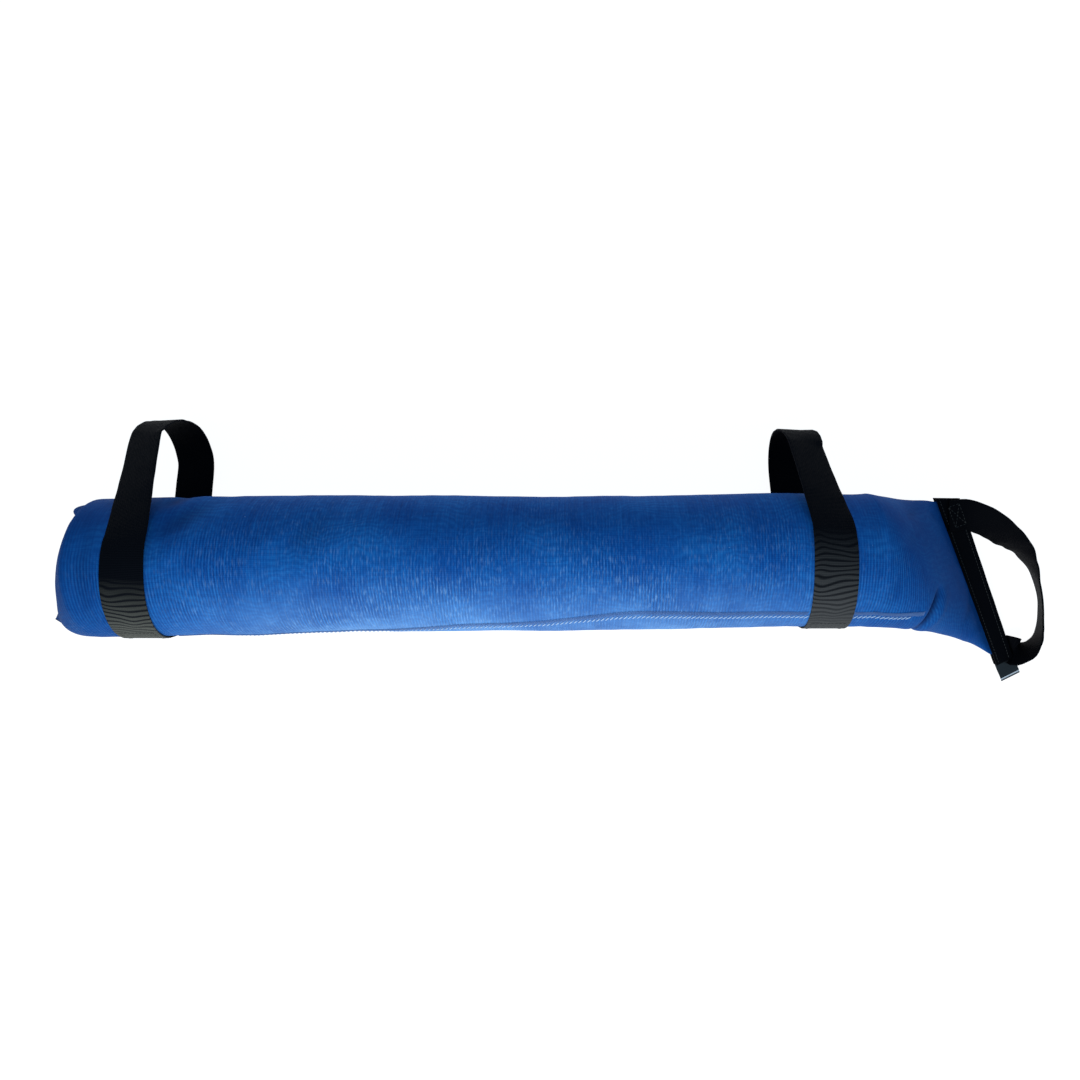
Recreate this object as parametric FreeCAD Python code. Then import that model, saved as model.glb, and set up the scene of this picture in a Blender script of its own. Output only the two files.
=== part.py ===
import FreeCAD, Part
import math
import os

# Tubular training bag, resting on its side on the floor.
# All lengths in mm. X runs along the bag, +Z is up, z = 0 is the floor.
# The two carry loops reach out towards +Y, the flat sewn end is at +X.

V = FreeCAD.Vector

# ---- driving dimensions -----------------------------------------------------
BAG_RADIUS = 65.0        # outside of the stuffed tube
AXIS_Y = -7.5            # where the tube's axis runs
AXIS_Z = 61.5
FLOOR_GAP = 1.9          # underside of the fabric: webbing plus a little air
SHELL_WALL = 1.6         # coated fabric with its lining
FOAM_ROOM = 7.0          # the foam sits this far inside the cloth's outer face
FOAM_WALL = 8.0
SLEEVE_WALL = 0.6

LEFT_TUBE_END = -420.0   # the tube is round between these two places
RIGHT_TUBE_END = 300.0

WEBBING = 1.6            # thickness of every strap
STRAP_WIDTH = 40.0
STRAP_AIR = 0.3          # the strap slides round the fabric
SEWN_HALF_ANGLE = 30.0   # each strap is sewn down either side of the -Y side
LOWER_WRAP_END = 27.0    # where the lower leg of a loop leaves the bag
STRAPS = {               # place along the bag, reach of the loop, loop radius
    "left": (-368.0, 138.5, 39.0),
    "right": (256.0, 129.5, 38.0),
}

SEAM_FAR = V(375.0, 52.5, 50.0)     # flat sewn end, corner away from the label
SEAM_NEAR = V(458.5, -116.0, 5.5)   # corner with the label, low by the floor
SEAM_HALF_SKIN = 1.2                # two layers of fabric pressed together
SEAM_EDGE = 22.0                    # how far the seam stands out of the bag
BINDING_WIDTH = 24.0
BINDING_START = 1.0

FOLD_FAR = V(-446.0, 37.0, 58.0)    # folded left end
FOLD_NEAR = V(-499.0, -66.0, 21.0)
FOLD_HALF_HEIGHT = 12.0
FLAP_UNDERSIDE = 1.6                # the tucked flap lies on its own binding
FLAP_SKIN = 2.4
FLAP_CORNERS = ((-484.0, -71.0), (-450.0, 40.0), (-416.0, 40.0))
FLAP_BINDING = 124.0                # length of that binding
FLAP_ROOM = 6.0                     # the left end is lifted this far by it

LOOP_WEBBING_WIDTH = 30.0
LOOP_ROOT_GAP = 2.2                 # the bend of the tape where it leaves the binding
LABEL_SIZE = (17.0, 22.0)
LABEL_SKIN = 0.5
THREAD = 0.4
RING_POINTS = 28


# ---- small helpers ----------------------------------------------------------
def ease(t):
    return t * t * (3.0 - 2.0 * t)


def mix(a, b, t):
    return a + (b - a) * t


def flattened(half_height, perimeter):
    """Half width of the ellipse with this half height and this perimeter."""
    low, high = half_height, perimeter / 4.0
    for _ in range(60):
        a = (low + high) / 2.0
        h = ((a - half_height) / (a + half_height)) ** 2
        around = math.pi * (a + half_height) * (1 + 3 * h / (10 + math.sqrt(4 - 3 * h)))
        if around < perimeter:
            low = a
        else:
            high = a
    return low


def ellipse_wire(centre, along, up, half_width, half_height):
    """Closed smooth curve; along and up are its two directions."""
    points = []
    for k in range(RING_POINTS):
        turn = 2 * math.pi * k / RING_POINTS
        points.append(centre + along * (half_width * math.cos(turn))
                      + up * (half_height * math.sin(turn)))
    curve = Part.BSplineCurve()
    curve.interpolate(Points=points, PeriodicFlag=True)
    return Part.Wire(curve.toShape())


def end_sections(tube_end, far, near, half_height, last, inset):
    """Cross-sections that carry the round tube over to a flat end."""
    middle = (far + near) * 0.5
    run = near - far
    lean = run.x / math.hypot(run.y, run.z)
    slope = math.atan2(-run.z, -run.y)
    around = 2 * math.pi * BAG_RADIUS
    half_run = run.Length / 2.0
    wires = []
    for k in range(7):
        t = last * k / 6.0
        height = mix(half_height, BAG_RADIUS, math.cos(math.pi * t / 2.0))
        width = min(flattened(height, around), mix(BAG_RADIUS, half_run, t) + 4 * t * (1 - t))
        turn = slope * ease(t)
        along = V(-lean * t, math.cos(turn), math.sin(turn)).normalize()
        centre = V(mix(tube_end, middle.x, t), mix(AXIS_Y, middle.y, ease(t)),
                   mix(AXIS_Z, middle.z, ease(t)))
        up = V(0, -math.sin(turn), math.cos(turn))
        wires.append(ellipse_wire(centre, along, up, width - inset, height - inset))
    return wires


def floor_block(inset):
    """Everything below the underside of the fabric, less for inner layers."""
    low = FLOOR_GAP + inset
    lifted = FLAP_ROOM + inset
    profile = [V(-560, -200, -20), V(-560, -200, lifted), V(-411, -200, lifted),
               V(-397, -200, low), V(560, -200, low), V(560, -200, -20)]
    return Part.Face(Part.makePolygon(profile + profile[:1])).extrude(V(0, 400, 0))


def left_end(inset, last=1.0):
    """Folded end of the bag, or a smaller copy that fits inside it."""
    sections = end_sections(LEFT_TUBE_END, FOLD_FAR, FOLD_NEAR, FOLD_HALF_HEIGHT, last, inset)
    return Part.makeLoft(sections, True).cut(floor_block(inset))


def right_end(inset, last=1.0):
    """Flattened end of the bag, or a smaller copy that fits inside it."""
    sections = end_sections(RIGHT_TUBE_END, SEAM_FAR, SEAM_NEAR, SEAM_HALF_SKIN + 1.0,
                            last, inset)
    return Part.makeLoft(sections, True).cut(floor_block(inset))


def tube_solid(inset, start, end):
    """Plain length of the tube with its flat underside."""
    tube = Part.makeCylinder(BAG_RADIUS - inset, end - start,
                             V(start, AXIS_Y, AXIS_Z), V(1, 0, 0))
    return tube.cut(floor_block(inset))


def write(name, shape):
    shape.exportStep("parts/" + name + ".step")
    box = shape.BoundBox
    print("%-24s %8.1f cm3  x %7.1f %7.1f  y %7.1f %7.1f  z %6.1f %6.1f" % (
        name, shape.Volume / 1000.0, box.XMin, box.XMax, box.YMin, box.YMax, box.ZMin, box.ZMax))
    ALL.append(shape)


ALL = []


# ---- frame of the flat sewn end ---------------------------------------------
SEAM_RUN = (SEAM_NEAR - SEAM_FAR).normalize()
SEAM_UP = (V(0, 0, 1) - SEAM_RUN * SEAM_RUN.z).normalize()
SEAM_OUT = SEAM_UP.cross(SEAM_RUN) * -1.0
if SEAM_OUT.x < 0:
    SEAM_OUT = SEAM_OUT * -1.0
SEAM_MIDDLE = (SEAM_FAR + SEAM_NEAR) * 0.5
SEAM_HALF = (SEAM_NEAR - SEAM_FAR).Length / 2.0


def seam_point(run, out, up):
    return SEAM_MIDDLE + SEAM_RUN * run + SEAM_OUT * out + SEAM_UP * up


def seam_box(run, out, up):
    """Box in the frame of the sewn end; each argument is a (from, to) pair."""
    corners = [seam_point(run[0], a, b) for a, b in
               ((out[0], up[0]), (out[1], up[0]), (out[1], up[1]), (out[0], up[1]))]
    return Part.Face(Part.makePolygon(corners + corners[:1])).extrude(SEAM_RUN * (run[1] - run[0]))


# ---- the bag ------------------------------------------------------------------
def make_shell():
    write("shell_tube", tube_solid(0.0, LEFT_TUBE_END, RIGHT_TUBE_END).cut(
        tube_solid(SHELL_WALL, LEFT_TUBE_END, RIGHT_TUBE_END)))
    write("shell_folded_end", left_end(0.0).cut(left_end(SHELL_WALL, 0.95)))
    tongue = seam_box((-SEAM_HALF, SEAM_HALF), (-3.0, SEAM_EDGE),
                      (-SEAM_HALF_SKIN, SEAM_HALF_SKIN))
    write("shell_sewn_end", right_end(0.0).cut(right_end(SHELL_WALL, 0.9)).fuse(tongue))


def make_inside():
    foam_start, foam_end = LEFT_TUBE_END + 6.0, RIGHT_TUBE_END - 4.0
    inner = FOAM_ROOM + FOAM_WALL
    foam = tube_solid(FOAM_ROOM, foam_start, foam_end).cut(
        tube_solid(inner, foam_start, foam_end))
    write("foam_wrap", foam)

    neck = 14.0
    sleeve_end = foam_end + 8.0
    skin = tube_solid(inner, foam_start + 2.0, foam_end - 6.0)
    skin = skin.fuse(Part.makeCone(BAG_RADIUS - inner - 4.0, neck, 14.0,
                                   V(foam_end - 6.0, AXIS_Y, AXIS_Z), V(1, 0, 0)))
    skin = skin.fuse(Part.makeCylinder(neck, 16.0, V(sleeve_end, AXIS_Y, AXIS_Z), V(1, 0, 0)))
    inner += SLEEVE_WALL
    fill = tube_solid(inner, foam_start + 2.0 + SLEEVE_WALL, foam_end - 6.0 - SLEEVE_WALL)
    write("filler_sleeve", skin.cut(fill))
    write("textile_fill", fill)

    tie = Part.makeTorus(neck + 1.5, 1.5, V(sleeve_end + 7.0, AXIS_Y, AXIS_Z), V(1, 0, 0))
    write("sleeve_tie", tie)


def surface_arc(radius, angle):
    """Point of the Y-Z plane at this distance and angle from the axis."""
    turn = math.radians(angle)
    return AXIS_Y + radius * math.cos(turn), AXIS_Z + radius * math.sin(turn)


def make_long_seam():
    """Lapped edge of the fabric and the row of stitches beside it."""
    start, end = STRAPS["left"][0] + 24.0, STRAPS["right"][0] - 24.0
    ring = Part.makeCylinder(BAG_RADIUS + THREAD, end - start,
                             V(start, AXIS_Y, AXIS_Z), V(1, 0, 0))
    ring = ring.cut(Part.makeCylinder(BAG_RADIUS, end - start, V(start, AXIS_Y, AXIS_Z), V(1, 0, 0)))
    write("long_seam_lap", ring.common(wedge(start, end - start, 143.0, 150.0)))
    y, z = surface_arc(BAG_RADIUS + THREAD + 0.1, 141.5)
    write("long_seam_stitching", Part.makeCylinder(0.5, end - start, V(start, y, z), V(1, 0, 0)))


def wedge(x, length, start, end):
    """Slice of space round the axis between two angles, seen along X."""
    points = [V(x, AXIS_Y, AXIS_Z)]
    steps = 6
    for k in range(steps + 1):
        y, z = surface_arc(120.0, mix(start, end, k / steps))
        points.append(V(x, y, z))
    return Part.Face(Part.makePolygon(points + points[:1])).extrude(V(length, 0, 0))


# ---- straps and carry loops ---------------------------------------------------
def strap_ring(x, width):
    """Webbing all round the bag with its flat run under it."""
    start = V(x - width / 2.0, AXIS_Y, AXIS_Z)
    inner_radius = BAG_RADIUS + STRAP_AIR
    outer = Part.makeCylinder(inner_radius + WEBBING, width, start, V(1, 0, 0))
    inner = Part.makeCylinder(inner_radius, width, start, V(1, 0, 0))
    outer = outer.cut(Part.makeBox(width, 300, 50, V(start.x, -150, -50)))
    inner = inner.cut(Part.makeBox(width, 300, 50 + WEBBING, V(start.x, -150, -50)))
    return outer.cut(inner)


def loop_face(x, reach, radius):
    """Side view of one carry loop: floor leg, round bend, leg back to the bag."""
    centre_y, centre_z = reach - radius, radius
    outer_bag = BAG_RADIUS + STRAP_AIR + WEBBING
    span = math.hypot(centre_y, centre_z - AXIS_Z)
    normal = math.atan2(centre_z - AXIS_Z, centre_y) + math.acos((outer_bag - radius) / span)

    def on(centre, distance, turn):
        return V(x, AXIS_Y + centre[0] + distance * math.cos(turn),
                 centre[1] + distance * math.sin(turn))

    bend, bag = (centre_y, centre_z), (0.0, AXIS_Z)
    halfway = (normal - math.pi / 2) / 2.0
    outer = [on(bend, radius, a) for a in (-math.pi / 2, halfway, normal)]
    inner = [on(bend, radius - WEBBING, a) for a in (normal, halfway, -math.pi / 2)]
    edges = [
        Part.makeLine(V(x, AXIS_Y + LOWER_WRAP_END, 0), outer[0]),
        Part.Arc(*outer).toShape(),
        Part.makeLine(outer[2], on(bag, outer_bag, normal)),
        Part.makeLine(on(bag, outer_bag, normal), on(bag, outer_bag - WEBBING, normal)),
        Part.makeLine(on(bag, outer_bag - WEBBING, normal), inner[0]),
        Part.Arc(*inner).toShape(),
        Part.makeLine(inner[2], V(x, AXIS_Y + LOWER_WRAP_END, WEBBING)),
        Part.makeLine(V(x, AXIS_Y + LOWER_WRAP_END, WEBBING), V(x, AXIS_Y + LOWER_WRAP_END, 0)),
    ]
    return Part.Face(Part.Wire(edges)), math.degrees(normal)


def make_strap(side):
    x, reach, radius = STRAPS[side]
    start = x - STRAP_WIDTH / 2.0
    face, leaves = loop_face(start, reach, radius)
    write(side + "_handle_loop", face.extrude(V(STRAP_WIDTH, 0, 0)))

    ring = strap_ring(x, STRAP_WIDTH)
    first, last = 180.0 - SEWN_HALF_ANGLE, 180.0 + SEWN_HALF_ANGLE
    write(side + "_strap_sewn", ring.common(wedge(start, STRAP_WIDTH, first, last)))
    write(side + "_strap_upper", ring.common(wedge(start, STRAP_WIDTH, leaves, first)))
    y, z = surface_arc(160.0, last)
    under = [V(start, AXIS_Y, AXIS_Z), V(start, y, z), V(start, y, -20.0),
             V(start, AXIS_Y + LOWER_WRAP_END, -20.0),
             V(start, AXIS_Y + LOWER_WRAP_END, AXIS_Z / 2.0)]
    under = Part.Face(Part.makePolygon(under + under[:1])).extrude(V(STRAP_WIDTH, 0, 0))
    write(side + "_strap_lower", ring.common(under))

    outer = BAG_RADIUS + STRAP_AIR + WEBBING
    rows = []
    for edge in (-STRAP_WIDTH / 2.0 + 4.0, STRAP_WIDTH / 2.0 - 5.0):
        row_start = V(x + edge, AXIS_Y, AXIS_Z)
        row = Part.makeCylinder(outer + THREAD, 1.0, row_start, V(1, 0, 0))
        row = row.cut(Part.makeCylinder(outer, 1.0, row_start, V(1, 0, 0)))
        rows.append(row.common(wedge(x + edge, 1.0, first + 3.0, last - 3.0)))
    for angle in (first + 3.0, last - 4.0):
        row_start = V(x - STRAP_WIDTH / 2.0 + 4.0, AXIS_Y, AXIS_Z)
        row = Part.makeCylinder(outer + THREAD, STRAP_WIDTH - 8.0, row_start, V(1, 0, 0))
        row = row.cut(Part.makeCylinder(outer, STRAP_WIDTH - 8.0, row_start, V(1, 0, 0)))
        rows.append(row.common(wedge(row_start.x, STRAP_WIDTH - 8.0, angle, angle + 1.0)))
    write(side + "_strap_stitching", rows[0].fuse(rows[1:]).removeSplitter())


# ---- flat sewn end ------------------------------------------------------------
def binding_channel():
    """Webbing folded over the edge of the seam."""
    ends = (-SEAM_HALF, SEAM_HALF)
    skin = SEAM_HALF_SKIN
    outside = seam_box(ends, (BINDING_START, BINDING_START + BINDING_WIDTH),
                       (-skin - WEBBING, skin + WEBBING))
    return outside.cut(seam_box(ends, (BINDING_START - 1.0, SEAM_EDGE), (-skin, skin)))


BINDING_FACE = SEAM_HALF_SKIN + WEBBING
BINDING_EDGE = BINDING_START + BINDING_WIDTH
TAB_HALF = LOOP_WEBBING_WIDTH / 2.0
FAR_TAB = -SEAM_HALF + TAB_HALF + 3.0
NEAR_TAB = SEAM_HALF - TAB_HALF - 3.0


def make_sewn_end():
    write("right_end_binding", binding_channel())
    rows = []
    for out in (BINDING_START + 3.0, BINDING_EDGE - 9.0):
        rows.append(seam_box((-SEAM_HALF + 2.0, SEAM_HALF - 2.0), (out, out + 1.0),
                             (BINDING_FACE, BINDING_FACE + THREAD)))
    write("right_binding_stitching", Part.makeCompound(rows))


def tab_box(middle, side, lift=0.0, height=WEBBING, trim=0.0):
    """Sewn root of the end loop: side +1 lies on the binding, -1 under it."""
    low, high = BINDING_FACE + THREAD + lift, BINDING_FACE + THREAD + lift + height
    if side < 0:
        low, high = -high, -low
    return seam_box((middle - TAB_HALF + trim, middle + TAB_HALF - trim),
                    (BINDING_START + 5.0 + trim, BINDING_EDGE - 1.0 - trim), (low, high))


def make_end_loop():
    write("end_loop_far_tab", tab_box(FAR_TAB, 1))
    write("end_loop_near_tab", tab_box(NEAR_TAB, -1))
    for name, middle in (("end_loop_far_bartack", FAR_TAB), ("end_loop_near_bartack", NEAR_TAB)):
        side = 1 if middle == FAR_TAB else -1
        write(name, tab_box(middle, side, WEBBING, THREAD, 3.0).cut(
            tab_box(middle, side, WEBBING, THREAD, 4.5)))

    # the loop leaves the upper tab flat, turns on edge and comes in under the corner
    height = BINDING_FACE + THREAD + WEBBING / 2.0
    start = seam_point(FAR_TAB, BINDING_EDGE + LOOP_ROOT_GAP, height)
    end = seam_point(NEAR_TAB, BINDING_EDGE + LOOP_ROOT_GAP, -height)
    on_edge = V(-0.45, 0.0, 0.89).normalize()
    path = [
        (start, SEAM_RUN * -1.0),
        (start + SEAM_OUT * 13.0, SEAM_RUN * -1.0 + on_edge * 0.25),
        (V(450.0, 22.0, 41.0), SEAM_RUN * -1.0 + on_edge * 0.9),
        (V(471.0, 3.0, 28.0), SEAM_RUN * -0.5 + on_edge),
        (V(486.0, -20.0, 18.5), SEAM_RUN * -0.15 + on_edge),
        (V(494.0, -45.0, 15.5), on_edge),
        (V(497.0, -68.0, 15.5), on_edge),
        (V(494.5, -88.0, 16.0), on_edge + SEAM_RUN * 0.45),
        (end + SEAM_OUT * 10.0 + V(0, 0, 3.0), SEAM_RUN + on_edge * 0.35),
        (end, SEAM_RUN),
    ]
    write("end_loop", band_solid(smooth_path(path, 3)))
    axis = (end - start).normalize()
    print("end loop hinge: origin", start, "axis", axis)


def smooth_path(path, parts):
    """Rounds off a path of (centre, sideways direction) pairs."""
    rounded = []
    for k in range(len(path) - 1):
        a, b, c, d = (path[max(k - 1, 0)], path[k], path[k + 1], path[min(k + 2, len(path) - 1)])
        for n in range(parts):
            t = n / parts
            centre = (b[0] * 2.0 + (c[0] - a[0]) * t
                      + (a[0] * 2.0 - b[0] * 5.0 + c[0] * 4.0 - d[0]) * (t * t)
                      + (b[0] * 3.0 - a[0] - c[0] * 3.0 + d[0]) * (t ** 3)) * 0.5
            rounded.append((centre, b[1] * (1.0 - t) + c[1] * t))
    return rounded + path[-1:]


def band_solid(path):
    """Flat tape along a path, closed with flat three-cornered faces."""
    corners = []
    for k, (centre, across) in enumerate(path):
        run = (path[min(k + 1, len(path) - 1)][0] - path[max(k - 1, 0)][0]).normalize()
        if k in (0, len(path) - 1):
            run = SEAM_OUT * (1.0 if k == 0 else -1.0)
        across = (across - run * across.dot(run)).normalize()
        thick = run.cross(across) * (WEBBING / 2.0)
        wide = across * (LOOP_WEBBING_WIDTH / 2.0)
        corners.append([centre - wide - thick, centre + wide - thick,
                        centre + wide + thick, centre - wide + thick])
    faces = [corners[0], corners[-1][::-1]]
    for one, two in zip(corners, corners[1:]):
        for i in range(4):
            j = (i + 1) % 4
            faces += [[one[j], one[i], two[i]], [one[j], two[i], two[j]]]
    faces = [Part.Face(Part.makePolygon(face + face[:1])) for face in faces]
    shell = Part.makeShell(faces)
    shell.sewShape()
    solid = Part.Solid(shell)
    if solid.Volume < 0:
        solid.reverse()
    return solid


def make_label():
    length, width = LABEL_SIZE
    root = seam_point(SEAM_HALF + 0.8, BINDING_START + 2.0, 0.0)
    run = V(SEAM_RUN.x, SEAM_RUN.y, -0.17).normalize()
    up = (SEAM_OUT.cross(run))
    up = up if up.z > 0 else up * -1.0
    corners = [root - up * (LABEL_SKIN / 2), root + run * length - up * (LABEL_SKIN / 2),
               root + run * length + up * (LABEL_SKIN / 2), root + up * (LABEL_SKIN / 2)]
    label = Part.Face(Part.makePolygon(corners + corners[:1])).extrude(SEAM_OUT * width)
    write("woven_label", label)
    print("label hinge: origin", root, "axis", SEAM_OUT)


# ---- tucked left end ----------------------------------------------------------
def make_tucked_end():
    corners = [V(x, y, FLAP_UNDERSIDE) for x, y in FLAP_CORNERS]
    flap = Part.Face(Part.makePolygon(corners + corners[:1])).extrude(V(0, 0, FLAP_SKIN))
    seam_start, seam_end = corners[0], corners[2]
    run = (seam_end - seam_start).normalize()
    inwards = V(-run.y, run.x, 0)
    strip = BINDING_WIDTH * 0.9
    start = seam_start - run * 6.0 - inwards * 2.0
    outline = [start, start + run * FLAP_BINDING, start + run * FLAP_BINDING + inwards * strip,
               start + inwards * strip]
    outline = Part.makePolygon(outline + outline[:1])
    lower = Part.Face(outline).extrude(V(0, 0, -FLAP_UNDERSIDE))
    upper = Part.Face(outline).extrude(V(0, 0, WEBBING))
    upper.translate(V(0, 0, FLAP_SKIN))
    spine = [start, start + run * FLAP_BINDING, start + run * FLAP_BINDING + inwards * 1.6,
             start + inwards * 1.6]
    spine = Part.Face(Part.makePolygon(spine + spine[:1])).extrude(V(0, 0, FLAP_SKIN))
    binding = lower.fuse([upper, spine]).removeSplitter()
    write("left_end_flap", flap.cut(binding))
    write("left_end_binding", binding)
    row_end = FLAP_BINDING - 4.0
    row = [start + run * 4.0 + inwards * 14.0, start + run * row_end + inwards * 14.0,
           start + run * row_end + inwards * 15.0, start + run * 4.0 + inwards * 15.0]
    row = Part.Face(Part.makePolygon(row + row[:1])).extrude(V(0, 0, 0.35))
    row.translate(V(0, 0, FLAP_SKIN + WEBBING))
    write("left_binding_stitching", row)


def main():
    os.makedirs("parts", exist_ok=True)
    make_shell()
    make_inside()
    make_long_seam()
    for side in STRAPS:
        make_strap(side)
    make_sewn_end()
    make_end_loop()
    make_label()
    make_tucked_end()
    whole = Part.makeCompound(ALL).BoundBox
    print("all parts: x %.1f %.1f  y %.1f %.1f  z %.1f %.1f" % (
        whole.XMin, whole.XMax, whole.YMin, whole.YMax, whole.ZMin, whole.ZMax))


main()
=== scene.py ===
# %% [markdown]
# The object is a long stuffed cloth tube for throwing and carrying drills. It lies on its side, with two
# carry loops of black webbing wrapped round it, a flat sewn end bound in webbing, and the other end folded
# under. The measured model is loaded first and never moved, so that every piece made here can be placed by
# its sizes.

# %% Load the measured model
import bpy
import math
import numpy as np
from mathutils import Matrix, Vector, noise
from mathutils.bvhtree import BVHTree


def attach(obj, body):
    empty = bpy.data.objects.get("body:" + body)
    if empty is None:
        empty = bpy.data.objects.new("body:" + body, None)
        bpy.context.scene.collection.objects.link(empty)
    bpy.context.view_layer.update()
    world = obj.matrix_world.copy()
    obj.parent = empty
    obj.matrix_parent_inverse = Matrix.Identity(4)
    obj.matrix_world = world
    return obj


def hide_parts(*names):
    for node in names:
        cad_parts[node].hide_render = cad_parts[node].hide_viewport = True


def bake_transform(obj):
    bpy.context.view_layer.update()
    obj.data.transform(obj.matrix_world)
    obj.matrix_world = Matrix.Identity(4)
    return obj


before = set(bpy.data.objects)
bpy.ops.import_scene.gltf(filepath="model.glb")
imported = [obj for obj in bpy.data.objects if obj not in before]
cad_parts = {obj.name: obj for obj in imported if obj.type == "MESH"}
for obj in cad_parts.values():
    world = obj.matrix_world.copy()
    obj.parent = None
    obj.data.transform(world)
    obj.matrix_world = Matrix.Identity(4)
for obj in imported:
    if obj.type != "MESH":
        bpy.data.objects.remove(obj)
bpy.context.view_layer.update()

# %% [markdown]
# Sizes shared by several pieces, in metres. The tube's axis bows a few millimetres and it is a little
# thinner towards the sewn end, so its middle line and its radius are given by two short curves along X.

# %% Sizes of the tube, its straps and its sewn end
AXIS_Y, AXIS_Z = -0.0075, 0.0615
FLOOR_GAP = 0.0019
PLAIN_RADIUS = 0.0650
UPRIGHT = Vector((0, 0, 1))
TUBE_START, TUBE_END = -0.420, 0.300
WEBBING = 0.0016
STRAP_LIFT = 0.0012  # from the cloth to the middle of a strap's thickness
BOW_X = (-0.50, -0.42, -0.30, -0.15, 0.0, 0.12, 0.22, 0.32)
BOW_Y = (-0.0060, -0.0055, -0.0030, -0.0010, -0.0015, 0.0, 0.0020, 0.0015)
GIRTH = (0.0655, 0.0658, 0.0658, 0.0645, 0.0638, 0.0634, 0.0634, 0.0625)
SEAM_FAR, SEAM_NEAR = Vector((0.375, 0.0525, 0.050)), Vector((0.4585, -0.116, 0.0055))


def smooth_table(x, places, values):
    """A value read off a short curve, eased between its points."""
    if x <= places[0]:
        return values[0]
    for k in range(len(places) - 1):
        if x <= places[k + 1]:
            t = (x - places[k]) / (places[k + 1] - places[k])
            t = t * t * (3 - 2 * t)
            return values[k] * (1 - t) + values[k + 1] * t
    return values[-1]


def middle_y(x):
    return AXIS_Y + smooth_table(x, BOW_X, BOW_Y)


def radius_at(x):
    return smooth_table(x, BOW_X, GIRTH)


def middle_z(x):
    """A thicker stretch of the tube stands a little higher, because it is flattened underneath."""
    return AXIS_Z + (radius_at(x) - PLAIN_RADIUS) * 0.6


def mix(a, b, t):
    return a + (b - a) * t


def along_line(points, t):
    """Point at share t of a smooth line through evenly spaced points."""
    count = len(points) - 1
    k = min(int(t * count), count - 1)
    u = t * count - k
    b, c = Vector(points[k]), Vector(points[k + 1])
    a = Vector(points[k - 1]) if k else b * 2 - c
    d = Vector(points[k + 2]) if k + 2 <= count else c * 2 - b
    return (b * 2 + (c - a) * u + (a * 2 - b * 5 + c * 4 - d) * u ** 2 + (b * 3 - a - c * 3 + d) * u ** 3) / 2


SEAM_RUN = (SEAM_NEAR - SEAM_FAR).normalized()
SEAM_UP = (UPRIGHT - SEAM_RUN * SEAM_RUN.z).normalized()
SEAM_OUT = SEAM_RUN.cross(SEAM_UP)
SEAM_OUT = SEAM_OUT if SEAM_OUT.x > 0 else -SEAM_OUT
SEAM_MIDDLE = (SEAM_FAR + SEAM_NEAR) / 2
SEAM_HALF = (SEAM_NEAR - SEAM_FAR).length / 2


def seam_point(run, out, up):
    """A point given in the directions of the sewn end."""
    return SEAM_MIDDLE + SEAM_RUN * run + SEAM_OUT * out + SEAM_UP * up


print("sewn end is", round(SEAM_HALF * 2000), "mm long")

# %% [markdown]
# The camera stands straight above the bag, as when an object laid on a table is looked at from above. A
# wide lens close by makes the far ends and the lower parts of the loops draw towards the middle.

# %% Camera
camera_data = bpy.data.cameras.new("overhead_camera")
camera_data.sensor_width = 36.0
camera_data.lens = 26.27
camera_data.shift_x, camera_data.shift_y = -0.0306, 0.0204
camera_data.clip_start, camera_data.clip_end = 0.01, 20.0
camera = bpy.data.objects.new("overhead_camera", camera_data)
camera.location = (0.026, AXIS_Y, 0.8115)
bpy.context.scene.collection.objects.link(camera)
bpy.context.scene.camera = camera
print("camera stands", round(camera.location.z, 3), "m above the floor")

# %% [markdown]
# Small helpers. One turns a written colour into the linear numbers that shaders use, one adds a shader node
# with its settings and its links, and one clears the selection, because operators act on everything
# selected.

# %% Helpers
def hex_colour(code):
    """Linear colour from its usual six-figure form."""
    parts = [int(code[k:k + 2], 16) / 255 for k in (0, 2, 4)]
    return tuple(p / 12.92 if p <= 0.04045 else ((p + 0.055) / 1.055) ** 2.4 for p in parts) + (1.0,)


def add_node(tree, kind, links=None, **settings):
    """Adds a node. Settings that name a socket set its value; links maps a socket to where it is fed from."""
    node = tree.nodes.new(kind)
    values = settings.pop("values", {})
    for name, value in settings.items():
        setattr(node, name, value)
    for key, value in values.items():
        node.inputs[key].default_value = value
    for key, source in (links or {}).items():
        tree.links.new(source, node.inputs[key])
    return node


def new_material(name):
    material = bpy.data.materials.new(name)
    material.use_nodes = True
    material.node_tree.nodes.clear()
    return material, material.node_tree


def clear_selection():
    if bpy.context.object and bpy.context.object.mode != "OBJECT":
        bpy.ops.object.mode_set(mode="OBJECT")
    bpy.ops.object.select_all(action="DESELECT")


def pick(piece):
    clear_selection()
    piece.select_set(True)
    bpy.context.view_layer.objects.active = piece


def finish_piece(piece, material, body="bag"):
    """Gives a piece its finish and, unless it bends between two bodies, its body."""
    piece.data.materials.clear()
    piece.data.materials.append(material)
    if body:
        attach(piece, body)
    print(piece.name, len(piece.data.polygons), "faces")


print("mid grey is", round(hex_colour("808080")[0], 3), "in the numbers that shaders use")

# %% [markdown]
# The cloth is a heavy coated cotton with fine ribs that run round the tube, about two and a half
# millimetres apart, and a thinner thread crossing them. Both are drawn on the cloth's own flat pattern, so
# they follow it into the folds. Pale threads on the crests are painted glints, and slow patches of tone show
# where hands have rubbed it.

# %% Weave of the ribbed cotton
RIB_SPACING, THREAD_SPACING, BAND_SPACING = 0.0027, 0.0017, 0.0062


def ridges(tree, source, spacing):
    """Even ridges, 0 to 1, at a spacing in metres."""
    turn = add_node(tree, "ShaderNodeMath", {0: source}, operation="MULTIPLY",
                    values={1: 2 * math.pi / spacing})
    wave = add_node(tree, "ShaderNodeMath", {0: turn.outputs[0]}, operation="SINE")
    return add_node(tree, "ShaderNodeMath", {0: wave.outputs[0]}, operation="MULTIPLY_ADD",
                    values={1: 0.5, 2: 0.5}).outputs[0]


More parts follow.
